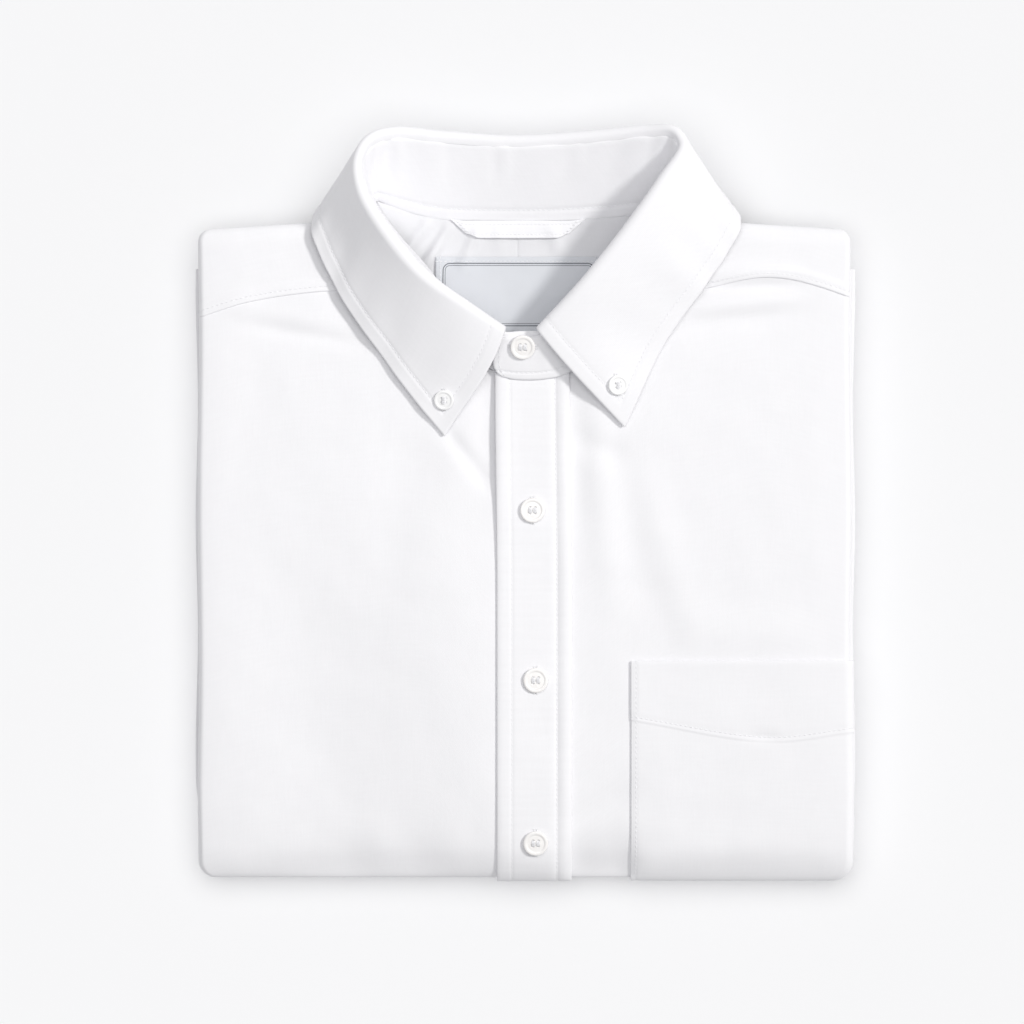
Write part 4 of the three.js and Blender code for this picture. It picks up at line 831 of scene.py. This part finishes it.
for name, side, top_y, cut_width, cut_area in (
        ("yoke_inside_right", -1, 139, 0.065, 0.0038), ("yoke_inside_left", 1, 135.8, 0.077, 0.0052)):
    grid = []
    start = YOKE_SEAM_X + side * 0.35
    for share in np.linspace(0, 1, 72):
        edge_y = INSIDE_FRONT_Y + (top_y - INSIDE_FRONT_Y) * share
        edge = float(column_lines(edge_y, INSIDE_SIDES)[1 if side > 0 else 0])
        x = start + (edge - start) * np.linspace(0, 1, 60)
        y = INSIDE_FRONT_Y + (column_lines(x, INSIDE_BACK)[0] - INSIDE_FRONT_Y) * share
        grid.append(np.stack([x, y, lining_z(x, y)], -1))
    middle = np.array(grid)
    wall = PLY * seam_furrow(middle[..., 0] - YOKE_SEAM_X, 0.3, 1.2)
    lining = add_cloth(name + "_cloth", middle, wall, lining_oxford_painted_shade)
    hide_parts(name)

# ------------------------------------------------------------------ collar stand
# The neck band: two plies of oxford over an interlining, sewn to the fronts and yoke along its foot.
# It stands up round the neck, and its ends lap at the front, where the neck button closes them.

# Places round the neck: the seam, the crest of the roll, the leaf's free edge, the roll's radius, the belly.
STATIONS = [
    ((-14.7, 62.0, 25.4), (-9.4, 81.0, 34.4), (-37.3, 31.8, 25.7), 2.4, 2.2),
    ((-26.7, 79.6, 25.0), (-25.3, 92.0, 40.6), (-51.6, 49.3, 26.2), 2.7, 2.6),
    ((-43.7, 105.3, 22.4), (-45.4, 105.2, 47.6), (-67.4, 70.6, 26.6), 2.8, 3.0),
    ((-58.0, 121.9, 19.8), (-62.2, 125.0, 51.2), (-82.4, 92.2, 27.0), 2.6, 2.8),
    ((-66.2, 132.6, 17.2), (-73.4, 143.0, 49.0), (-92.0, 110.0, 26.8), 2.0, 1.6),
    ((-70.2, 139.6, 15.8), (-75.6, 156.4, 45.0), (-97.6, 125.6, 25.2), 1.5, 0.3),
    ((-68.6, 141.2, 15.0), (-71.0, 166.0, 40.0), (-95.6, 134.2, 13.6), 1.5, 0.2),
    ((-60.6, 138.4, 14.4), (-61.0, 170.4, 34.0), (-82.0, 136.0, 4.6), 1.8, 1.0),
    ((-38.6, 133.2, 13.8), (-38.4, 169.2, 29.5), (-47.0, 133.4, 1.8), 2.2, 2.2),
    ((-3.6, 132.2, 13.4), (-5.4, 167.4, 27.2), (-4.0, 131.6, 1.6), 2.2, 2.2),
    ((31.0, 133.2, 13.8), (30.4, 169.4, 28.8), (40.2, 133.2, 1.8), 2.2, 2.2),
    ((53.2, 135.6, 14.8), (55.6, 171.6, 32.6), (80.6, 136.0, 4.6), 1.8, 1.2),
    ((67.8, 137.6, 16.4), (67.2, 170.8, 36.8), (96.4, 134.6, 13.4), 1.6, 0.4),
    ((75.4, 132.6, 19.2), (70.4, 164.4, 39.6), (98.0, 127.4, 24.4), 1.7, 0.6),
    ((76.0, 121.0, 22.4), (61.0, 149.6, 42.0), (90.8, 113.0, 26.6), 2.2, 1.8),
    ((65.0, 103.6, 24.4), (45.0, 127.2, 41.4), (79.4, 97.0, 26.9), 2.6, 2.6),
    ((45.0, 79.8, 25.4), (25.6, 102.8, 38.8), (62.8, 72.8, 26.3), 2.6, 2.6),
    ((20.2, 62.2, 26.2), (5.4, 80.6, 34.0), (45.2, 36.0, 25.7), 2.4, 2.2),
]
# The stand's two lapped ends, as seam and crest.
UNDER_END = [((9, 62.4, 28.1), (8, 81.6, 32.6)), ((-4, 62.0, 27.8), (-2, 81.4, 32.2))]
OVER_END = [((8, 59.4, 25.9), (0, 80.2, 32.0)), ((-4, 59.2, 25.8), (-7, 80.4, 31.8)),
            ((-14.4, 60.6, 25.6), (-13.6, 80.6, 32.4))]
STAND_WALL, STAND_SHORT, LAP = 2.0, 4.6, 1.35


def line_through(points, t):
    """Points at shares t along a smooth line through the stations, each span taking an equal share."""
    p = np.asarray(points, float)
    p = np.concatenate([[2 * p[0] - p[1]], p, [2 * p[-1] - p[-2]]])
    at = np.clip(t, 0, 1) * (len(p) - 3)
    k = np.minimum(at.astype(int), len(p) - 4)
    w = (at - k)[:, None]
    a, b, c, d = p[k], p[k + 1], p[k + 2], p[k + 3]
    gap = lambda u, v: np.maximum(np.linalg.norm(v - u, axis=1), 1e-8)[:, None] ** 0.5
    g0, g1, g2 = gap(a, b), gap(b, c), gap(c, d)
    m1 = ((b - a) / g0 - (c - a) / (g0 + g1) + (c - b) / g1) * g1
    m2 = ((c - b) / g1 - (d - b) / (g1 + g2) + (d - c) / g2) * g1
    return b + m1 * w + (3 * (c - b) - 2 * m1 - m2) * w**2 + (2 * (b - c) + m1 + m2) * w**3


stand_stations = UNDER_END + [s[:2] for s in STATIONS] + OVER_END


def stand_grid(t, v):
    """Middle of the stand's cloth; t and v are grids of shares along it and up it."""
    shape = t.shape
    seam = line_through([s[0] for s in stand_stations], t.ravel())
    up = line_through([s[1] for s in stand_stations], t.ravel()) - seam
    height = np.linalg.norm(up, axis=1, keepdims=True)
    over = smooth(t.ravel(), 0.84, 0.9) - (1 - smooth(t.ravel(), 0.09, 0.19))
    lapped = LAP * over[:, None] * np.array([0, -0.66, 0.75])
    return (seam + up / height * (height - STAND_SHORT) * v.ravel()[:, None] + lapped).reshape(*shape, 3)


stand_t = np.concatenate([np.linspace(0, 0.94, 300), np.linspace(0.942, 1, 40)])
stand_v = np.concatenate([[-0.045, -0.02], np.linspace(0, 1, 22), np.linspace(0.04, 0.16, 7)])
stand_v = np.unique(np.round(stand_v, 4))
grid_v, grid_t = np.meshgrid(stand_v, stand_t)
grid_t = grid_t - 0.012 * (2 * grid_v - 1) ** 4 * smooth(grid_t, 0.96, 1)
stand_middle = stand_grid(grid_t, grid_v)
stand_normal = facing(stand_middle)
ripple = 0.3 * np.sin(grid_t * 190 + 2.0 * np.sin(grid_v * 3)) * hump(grid_v - 0.85, 0.35)
ripple = ripple + 0.22 * np.sin(grid_t * 83)
for pucker_x, pucker_half, pucker_deep in (
        (-10, 2.2, -0.7), (-14, 2.5, 0.4), (-59, 2.4, -0.7), (-79, 2.6, 0.8), (24, 2.4, -0.4), (-36, 3, 0.4)):
    at_back = hump(stand_middle[..., 0] - pucker_x, pucker_half) * smooth(stand_middle[..., 1], 120, 140)
    ripple = ripple + pucker_deep * at_back * smooth(grid_v, 0.35, 0.9)
ripple = ripple * smooth(grid_t, 0.25, 0.35) * (1 - smooth(grid_t, 0.7, 0.8))
stand_middle = stand_middle + stand_normal * ripple[..., None]
stand_wall = STAND_WALL * seam_furrow((grid_v - 0.1) * 24, 0.3, 0.8)
stand = add_cloth("stand_band", stand_middle, stand_wall, oxford)
foot_column = int(np.argmin(np.abs(stand_v - 0.1)))
foot_line, end_line = stand_middle[:, foot_column], stand_middle[-8, 2:-2]
outward = np.sign(np.sum(stand_normal[170, foot_column] * np.array([0, 1, -0.5])))
foot_normal, end_normal = outward * stand_normal[:, foot_column], outward * stand_normal[-8, 2:-2]
stand_runs = [(foot_line + foot_normal * (STAND_WALL * 0.36), foot_normal),
              (foot_line - foot_normal * (STAND_WALL * 0.36), -foot_normal),
              (end_line + end_normal * (STAND_WALL * 0.5), end_normal)]
stand_stitches = add_stitches("collar_stand_stitches", stand_runs)
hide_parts("collar_stand")

# ------------------------------------------------------------------ collar leaf
# The fall of the button-down collar: two plies of oxford, stitched 6 mm in from the edge.
# It rolls over the top of the stand, stands proud of the fronts and is buttoned down at its points.

LEAF_WALL, LEAF_STITCH, END_ROWS, FAR = 1.6, 6.0, 70, 60.0


def leaf_grid(t, v_list):
    """Middle of the leaf's cloth. v: 0 to 0.1 up beside the stand, to 0.4 over the roll, to 1 down to the edge."""
    seam, crest, edge = (line_through([s[i] for s in STATIONS], t) for i in range(3))
    bend = line_through([(i, s[3], s[4]) for i, s in enumerate(STATIONS)], t)
    roll, belly = bend[:, 1:2], bend[:, 2:3]
    up = unit(crest - seam)
    both = lambda at: sum(line_through([s[i] for s in STATIONS], at) for i in (0, 1))
    ahead = unit(both(np.minimum(t + 0.004, 1)) - both(np.maximum(t - 0.004, 0)))
    out = unit(np.cross(ahead, up))
    out = out * np.where(np.sum(out * (edge - crest), axis=1, keepdims=True) < 0, -1, 1)
    leg_top = crest - up * roll
    centre = leg_top + out * roll
    # The right side falls steeply below the roll, and there and at its points the leaf comes to rest flat.
    right_side = hump(t - 0.24, 0.145)[:, None]
    fall = unit(edge - centre - np.array([0, 0, 15.0]) * right_side)
    last = np.arctan2(np.sum(fall * out, axis=1), np.sum(fall * up, axis=1))[:, None]
    turned = lambda a: centre - out * roll * np.cos(a) + up * roll * np.sin(a)
    start = turned(last)
    heading = out * np.sin(last) + up * np.cos(last)
    reach = np.linalg.norm(edge - start, axis=1, keepdims=True)
    first_pull = start + heading * reach * 0.36
    last_pull = edge + (start - edge) * 0.34 + out * belly * (1 - 0.7 * right_side)
    last_pull[:, 2:] += (edge[:, 2:] + 1.5 - last_pull[:, 2:]) * 0.8 * right_side
    at_tip = np.maximum(1 - smooth(t, 0.03, 0.19), 0.7 * smooth(t, 0.84, 0.97))[:, None]
    last_pull[:, 2:] += (edge[:, 2:] + 0.9 - last_pull[:, 2:]) * 0.85 * at_tip
    grid = []
    for v in v_list:
        if v <= 0.1:
            grid.append(leg_top - up * (STAND_SHORT - roll - 0.7) * (1 - v / 0.1))
        elif v <= 0.4:
            grid.append(turned(last * (v - 0.1) / 0.3))
        else:
            w = (v - 0.4) / 0.6
            grid.append(start * (1 - w) ** 3 + 3 * first_pull * w * (1 - w) ** 2
                        + 3 * last_pull * w * w * (1 - w) + edge * w**3)
    return np.stack(grid, axis=1)


end_t = np.concatenate([np.linspace(0, 0.055, 34), np.linspace(0.055, 0.945, 300)[1:-1], np.linspace(0.945, 1, 34)])
leaf_v = np.concatenate([[0, 0.05], np.linspace(0.1, 0.4, 13), 0.4 + 0.6 * np.linspace(0, 0.78, 28)[1:],
                         0.4 + 0.6 * np.linspace(0.78, 1, 26)[1:]])
leaf_middle = leaf_grid(end_t, leaf_v)


def distance_to(points, line):
    """How far each point is from the nearest point of a line."""
    return np.min(np.linalg.norm(points[..., None, :] - line, axis=-1), axis=-1)


from_free_edge = np.full(leaf_middle.shape[:2], FAR)
for row in range(0, len(end_t)):
    low, high = max(row - 30, 0), min(row + 31, len(end_t))
    from_free_edge[row, 15:] = distance_to(leaf_middle[row, 15:], leaf_middle[low:high, -1])
from_front = np.full(leaf_middle.shape[:2], FAR)
from_front[:END_ROWS, 8:] = distance_to(leaf_middle[:END_ROWS, 8:], leaf_middle[0, 8:])
from_front[-END_ROWS:, 8:] = distance_to(leaf_middle[-END_ROWS:, 8:], leaf_middle[-1, 8:])
from_edges = np.minimum(from_free_edge, from_front)
plump = 1 + 0.1 * (1 - smooth(from_edges, 4.2, 5.6))
leaf_wall = LEAF_WALL * plump * seam_furrow(from_edges - LEAF_STITCH, 0.26, 0.8)
leaf_normal = facing(leaf_middle)
lift_share = smooth(leaf_v, 0.45, 0.8)[None, :]
drape = (0.35 * np.sin(end_t * 61 + 1)[:, None] + 0.2 * np.sin(end_t * 127)[:, None]) * lift_share
leaf_middle = leaf_middle + leaf_normal * drape[..., None]
leaf = add_cloth("leaf_fall", leaf_middle, leaf_wall, oxford)


at_back = leaf_middle[len(end_t) // 2]
away = np.sum(leaf_normal[len(end_t) // 2, -1] * (at_back[-1] - at_back[10]))
facing_out = leaf_normal * (-1 if away < 0 else 1)


def stitch_place(before, after, near, far):
    """Where the stitching crosses a span of the grid, given the edge's distance at both ends, and its normal."""
    share = (LEAF_STITCH - before) / (after - before)
    normal = facing_out[far]
    a, b = leaf_middle[near], leaf_middle[far]
    return a + (b - a) * share + normal * (LEAF_WALL * 0.36), normal


edge_run = []
for row in range(len(end_t)):
    column = int(np.argmax(from_free_edge[row] <= LEAF_STITCH))
    if column > 0 and from_front[row, column] >= LEAF_STITCH:
        spans = from_free_edge[row, column - 1], from_free_edge[row, column]
        edge_run.append(stitch_place(*spans, (row, column - 1), (row, column)))
front_runs = []
for rows in (range(1, END_ROWS), range(len(end_t) - 2, len(end_t) - END_ROWS - 1, -1)):
    run = []
    for column in range(14, len(leaf_v)):
        line = from_front[list(rows), column]
        hit = int(np.argmax(line >= LEAF_STITCH))
        if line[hit] >= LEAF_STITCH and from_free_edge[rows[hit], column] >= LEAF_STITCH:
            run.append(stitch_place(line[hit - 1], line[hit], (rows[hit - 1], column), (rows[hit], column)))
    front_runs.append(run)
leaf_runs = [tuple(np.array(part) for part in zip(*run)) for run in (edge_run, *front_runs)]
leaf_stitches = add_stitches("collar_leaf_stitches", leaf_runs)
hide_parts("collar_leaf")

# ------------------------------------------------------------------ hanger loop
# A folded tape of the shirt's cloth across the inside of the yoke, its ends caught in the neck seam.
# Each end is turned in at a slant and held by a short bar tack.

LOOP_TOP_Y, LOOP_TAPE = 130.6, 7.2
loop_share, loop_down = np.meshgrid(np.linspace(-1, 1, 110), np.linspace(0, 1, 18))
loop_x = YOKE_SEAM_X + loop_share * (30.5 - 7.0 * loop_down)
end_rise = smooth(np.abs(loop_share), 0.78, 1)
loop_y = LOOP_TOP_Y - 0.9 * (1 - end_rise) - LOOP_TAPE * loop_down * (1 - 0.15 * end_rise)
off_cloth = 0.3 + 0.55 * (1 - loop_share**4) * (0.4 + 0.6 * loop_down)
loop_z = lining_z(loop_x, loop_y) + PLY / 2 + off_cloth + 0.5
loop_wall = np.minimum(*(seam_furrow((loop_down - row) * LOOP_TAPE, 0.3, 0.6) for row in (0.18, 0.82)))
loop_middle = np.stack([loop_x, loop_y, loop_z], -1)
hanger_loop = add_cloth("loop_tape", loop_middle, loop_wall, oxford)
loop_runs = [along_grid(loop_middle, loop_wall, rows=3), along_grid(loop_middle, loop_wall, rows=14)]
for column in (4, -5):
    points, normals = along_grid(loop_middle, loop_wall, columns=column)
    loop_runs += [(points[2:-2] + np.array([dx, 0, 0.1]), normals[2:-2]) for dx in (-0.35, 0, 0.35)]
loop_stitches = add_stitches("hanger_loop_stitches", loop_runs, pitch=1.9, length=1.5)
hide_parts("hanger_loop")

# ------------------------------------------------------------------ neck label
# A woven satin label, stitched to the lining along its ends. It is bare inside a plain woven border.

LABEL_WIDTH, LABEL_HEIGHT, LABEL_TOP_Y, LABEL_WALL = 75.0, 34.0, 113.2, 0.9


def woven_satin(name, ground, border):
    """Pale satin with a dark double border, both from the place on the label; its face shines along the weft."""
    satin, nodes, links, shader = start_finish(name, {"Roughness": 0.48, "Sheen Weight": 0.15})
    sums = lambda kind, first, second=None: add_sum(nodes, links, kind, first, second)
    corner, inset, turn = 3.0, 2.6, 6.283
    _, on_x, on_y = place_on_grain(nodes, links)
    across = sums("MULTIPLY", on_x, 1000)
    down = sums("SUBTRACT", sums("MULTIPLY", on_y, 1000), LABEL_HEIGHT / 2 + 0.5)
    past = [sums("MAXIMUM", sums("SUBTRACT", sums("ABSOLUTE", way), size / 2 - inset - corner), 0)
            for way, size in ((across, LABEL_WIDTH), (down, LABEL_HEIGHT))]
    from_corner = sums("SQRT", sums("ADD", *(sums("MULTIPLY", way, way) for way in past)))
    from_line = sums("SUBTRACT", from_corner, corner)
    outer = sums("LESS_THAN", sums("ABSOLUTE", from_line), 0.24)
    inner = sums("LESS_THAN", sums("ABSOLUTE", sums("ADD", from_line, 1.0)), 0.14)
    edge = sums("MAXIMUM", outer, inner)
    weft = sums("SINE", sums("MULTIPLY", down, turn / 0.42))
    warp = sums("SINE", sums("ADD", sums("MULTIPLY", across, turn / 0.6), sums("MULTIPLY", down, 9)))
    weave = sums("ADD", sums("MULTIPLY", weft, 0.5), sums("MULTIPLY", warp, 0.35))
    add_bump(nodes, links, shader, weave, 0.35, 0.00008)
    shades = add_shades(nodes, links, sums("ADD", sums("MULTIPLY", weave, 0.5), 0.5),
                        [0.9 * v for v in ground], ground, low=0.1, high=0.9)
    mix = nodes.new("ShaderNodeMix")
    mix.data_type = "RGBA"
    links.new(edge, mix.inputs["Factor"])
    links.new(shades, mix.inputs["A"])
    mix.inputs["B"].default_value = (*border, 1)
    links.new(mix.outputs["Result"], shader.inputs["Base Color"])
    return satin


label_satin = woven_satin("label_satin", (0.71, 0.728, 0.765), (0.13, 0.14, 0.16))
label_x, label_y = np.meshgrid(YOKE_SEAM_X + np.linspace(-0.5, 0.5, 90) * LABEL_WIDTH,
                               LABEL_TOP_Y - np.linspace(0, LABEL_HEIGHT, 42))
label_rise = 0.25 * np.sin(label_x / 8) * hump(label_y - LABEL_TOP_Y, 12)
label_middle = np.stack([label_x, label_y, lining_z(label_x, label_y) + PLY / 2 + 0.75 + label_rise * 0.5], -1)
neck_label = add_cloth("label_patch", label_middle, LABEL_WALL, label_satin)
label_runs = [along_grid(label_middle, LABEL_WALL, columns=c) for c in (2, -3)]
label_runs.append(along_grid(label_middle, LABEL_WALL, rows=2))
label_stitches = add_stitches("neck_label_stitches", label_runs, pitch=2.0, length=1.5)
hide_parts("neck_label")

# ------------------------------------------------------------------ buttons and buttonholes
# Four-hole shirt buttons of cloudy off-white resin, turned with a rounded rim and a dished middle.
# Each is sewn on with two bars of thread, over a worked buttonhole that shows past its edge.

# Each front button's place, and how wide the two sizes of button are.
FRONT_BUTTONS = [("button_front_1", 3.2, -3.4), ("button_front_2", 4.6, -81.4), ("button_front_3", 4.6, -156.2)]
FRONT_ACROSS, COLLAR_ACROSS = 11.5, 9.3


def button_resin(name, deep, pale):
    """Cloudy resin: warm off-white with soft swirls, glossy, letting a little light in."""
    resin, nodes, links, shader = start_finish(name, {
        "Roughness": 0.24, "Coat Weight": 0.25, "Coat Roughness": 0.1, "Transmission Weight": 0.03, "IOR": 1.5})
    place = nodes.new("ShaderNodeTexCoord")
    swirl = nodes.new("ShaderNodeTexNoise")
    swirl.inputs["Scale"].default_value = 240
    swirl.inputs["Distortion"].default_value = 1.6
    links.new(place.outputs["Object"], swirl.inputs["Vector"])
    shades = add_shades(nodes, links, swirl.outputs["Fac"], deep, pale, low=0.3, high=0.72)
    links.new(shades, shader.inputs["Base Color"])
    return resin


cloudy_resin = button_resin("cloudy_resin", (0.95, 0.925, 0.91), (0.99, 0.98, 0.97))
clear_resin = button_resin("clear_resin", (0.97, 0.97, 0.97), (0.995, 0.995, 0.995))


def turned_frame(normal, along=(1, 0, 0)):
    """Right, ahead and up for something that lies on a cloth with that normal, its right going along."""
    up = unit(np.asarray(normal, float))
    right = unit(np.asarray(along, float) - up * np.dot(along, up))
    return right, np.cross(up, right), up


# A button's face and back, from the middle to the rim: radius and height, in shares of its own.
FACE_R, FACE_Z = [0, 0.4, 0.58, 0.66, 0.7, 0.75, 0.81, 0.88, 0.94, 0.98, 1.0], [
    0.80, 0.79, 0.76, 0.74, 0.80, 0.95, 1.0, 1.0, 0.93, 0.76, 0.5]
BACK_R, BACK_Z = [0, 0.86, 0.95, 1], [0, 0, 0.14, 0.5]


def add_button(name, across, seat, normal, along=(1, 0, 0), resin=cloudy_resin):
    """A four-hole button turned to a profile, seated on the cloth, with two bars of thread through its holes."""
    radius, thick, cells = across / 2, across * 0.145, 72
    u, v = np.meshgrid(np.linspace(-1, 1, cells + 1), np.linspace(-1, 1, cells + 1))
    disc_x, disc_y = u * np.sqrt(1 - v * v / 2) * radius, v * np.sqrt(1 - u * u / 2) * radius
    r = np.hypot(disc_x, disc_y) / radius
    top = np.interp(r, FACE_R, FACE_Z) * thick
    pitch, hole = across * 0.105, across * 0.058
    for sx in (-1, 1):
        for sy in (-1, 1):
            away = np.hypot(disc_x - sx * pitch, disc_y - sy * pitch)
            top = top - (top - 0.4 * thick) * (1 - smooth(away, hole * 0.8, hole * 1.12))
    bottom = np.interp(r, BACK_R, BACK_Z) * thick
    right, ahead, up = turned_frame(normal, along)
    lift = lambda z: (seat + disc_x[..., None] * right + disc_y[..., None] * ahead + (z + 0.12)[..., None] * up)
    inner = np.zeros(u.shape, bool)
    inner[1:-1, 1:-1] = True
    top_index = np.arange(u.size).reshape(u.shape)
    bottom_index = np.where(inner, top_index + u.size, top_index)
    quads = np.concatenate([grid_quads(top_index), grid_quads(bottom_index)[:, ::-1]])
    points = np.concatenate([lift(top).reshape(-1, 3), lift(bottom).reshape(-1, 3)])
    used, quads = np.unique(quads, return_inverse=True)
    button = add_mesh(name + "_turned", points[used], quads.reshape(-1, 4), resin)
    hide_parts(name)
    strands = []
    for sx in (-1, 1):
        for dx, height in ((-0.5, 0.0), (-0.18, 0.16), (0.18, 0.2), (0.5, 0.05)):
            steps = np.linspace(0, 1, 11)[:, None]
            spread = dx * (0.75 + 0.55 * np.sin(np.pi * steps))
            arch = 0.12 + 0.84 * thick + (0.3 + height) * np.sin(np.pi * steps) - 0.9 * (np.abs(2 * steps - 1) ** 8)
            reach = 2.5 * pitch * (steps - 0.5)
            strands.append(seat + right * (sx * pitch * 0.9 + spread) + ahead * reach + up * arch)
    add_strands(name + "_thread", strands, 0.21)


def add_strands(name, strands, radius, sides=8):
    """Round threads along lists of points, closed at both ends."""
    points, quads = [], []
    angles = np.linspace(0, 2 * np.pi, sides, endpoint=False)[:, None]
    for strand in strands:
        start = len(points)
        for centre, along in zip(strand, unit(np.gradient(strand, axis=0))):
            over = unit(np.cross(along, (0.3, 0.2, 0.93)))
            points.extend(centre + radius * (np.cos(angles) * over + np.sin(angles) * np.cross(along, over)))
        rings = np.arange(start, len(points)).reshape(-1, sides)
        quads += [roll_quads(rings), end_quads(rings)]
    piece = add_mesh(name, np.array(points), np.concatenate(quads), white_thread)
    return piece


def add_buttonhole(name, centre, normal, along, length, surface):
    """A slit worked round with close zigzag stitches; surface gives the cloth's height for a point."""
    right, ahead, up = turned_frame(normal, along)
    turns = int(length * 2.6)
    half = length / 2
    strands = []
    for sign in (1, -1):
        place = np.linspace(-half, half, turns * 4)
        swing = 0.62 + 0.42 * np.sign(np.sin(np.linspace(0, turns * 2 * np.pi, len(place)))) * sign
        line = centre + right * place[:, None] + ahead * (sign * swing)[:, None]
        strands.append(surface(line, up))
    for end in (-1, 1):
        place = np.linspace(-1.2, 1.2, 26)
        reach = end * (half + 0.25 * np.sin(np.linspace(0, 16 * np.pi, 26)))
        strands.append(surface(centre + right * reach[:, None] + ahead * place[:, None], up))
    return add_strands(name, strands, 0.13)


def on_placket(line, up):
    """The line's points set down on the placket's face."""
    x, y = line[:, 0], line[:, 1]
    share = np.clip((BOTTOM_Y + FOLD_TOP - y) / FOLD_TOP, 0, 1)
    lift = np.sqrt(1 - share**2)
    z = PARTING_Z + (top_of_cloth(x, y) + PATCH_GAP + PLACKET_WALL - PARTING_Z) * lift
    return np.stack([x, y, z + 0.06], -1)


for name, x, y in FRONT_BUTTONS:
    spots = on_placket(np.array([(x, y, 0), (x + 5, y, 0), (x - 5, y, 0), (x, y + 5, 0), (x, y - 5, 0)], float), None)
    normal = np.cross(spots[1] - spots[2], spots[3] - spots[4])
    add_button(name, FRONT_ACROSS, spots[0] + np.array([0, 0, 0.15]), normal)
    add_buttonhole(name + "_hole", spots[0], (0, 0, 1), (0, 1, 0), 12.7, on_placket)


def nearest_on(middle, x, y):
    """Row and column of the grid's point nearest to x and y, seen from above."""
    gap = np.hypot(middle[..., 0] - x, middle[..., 1] - y)
    return np.unravel_index(np.argmin(gap), gap.shape)


def on_grid(middle, normal, wall):
    """A way to set a line's points down on the face of a cloth, on the side that up points to."""
    def surface(line, up):
        flat = middle.reshape(-1, 3)
        picked = []
        for p in line:
            near = np.argsort(np.sum((flat - p) ** 2, axis=1))[:4]
            n = normal.reshape(-1, 3)[near].mean(axis=0)
            n = unit(n if np.dot(n, up) > 0 else -n)
            picked.append(p - n * np.dot(p - flat[near].mean(axis=0), n) + n * (wall / 2 + 0.06))
        return np.array(picked)
    return surface


leaf_ends = {"button_collar_right": (slice(0, 90), -37.3, 47.8), "button_collar_left": (slice(-90, None), 42.0, 54.5)}
for name, (rows, x, y) in leaf_ends.items():
    middle, normals = leaf_middle[rows, 30:], leaf_normal[rows, 30:]
    spot = nearest_on(middle, x, y)
    normal = normals[spot] * (1 if normals[spot][2] > 0 else -1)
    tip = leaf_middle[0 if x < 0 else -1, -1]
    along = tip - middle[spot]
    seat = middle[spot] + normal * (LEAF_WALL / 2)
    add_buttonhole(name + "_hole", seat, normal, along, 10.3, on_grid(middle, normals, LEAF_WALL))
    add_button(name, COLLAR_ACROSS, seat + normal * 0.15, normal, along, clear_resin)

stand_rows = slice(-60, None)
spot = nearest_on(stand_middle[stand_rows], -1.2, 71.7)
normal = stand_normal[stand_rows][spot] * (1 if stand_normal[stand_rows][spot][2] > 0 else -1)
seat = stand_middle[stand_rows][spot] + normal * (STAND_WALL / 2)
add_buttonhole("button_neck_hole", seat, normal, (1, 0, 0), 13.6,
               on_grid(stand_middle[stand_rows], stand_normal[stand_rows], STAND_WALL))
add_button("button_neck", FRONT_ACROSS, seat + normal * 0.15, normal)

# ------------------------------------------------------------------ last update
# The view layer is brought up to date.

bpy.context.view_layer.update()
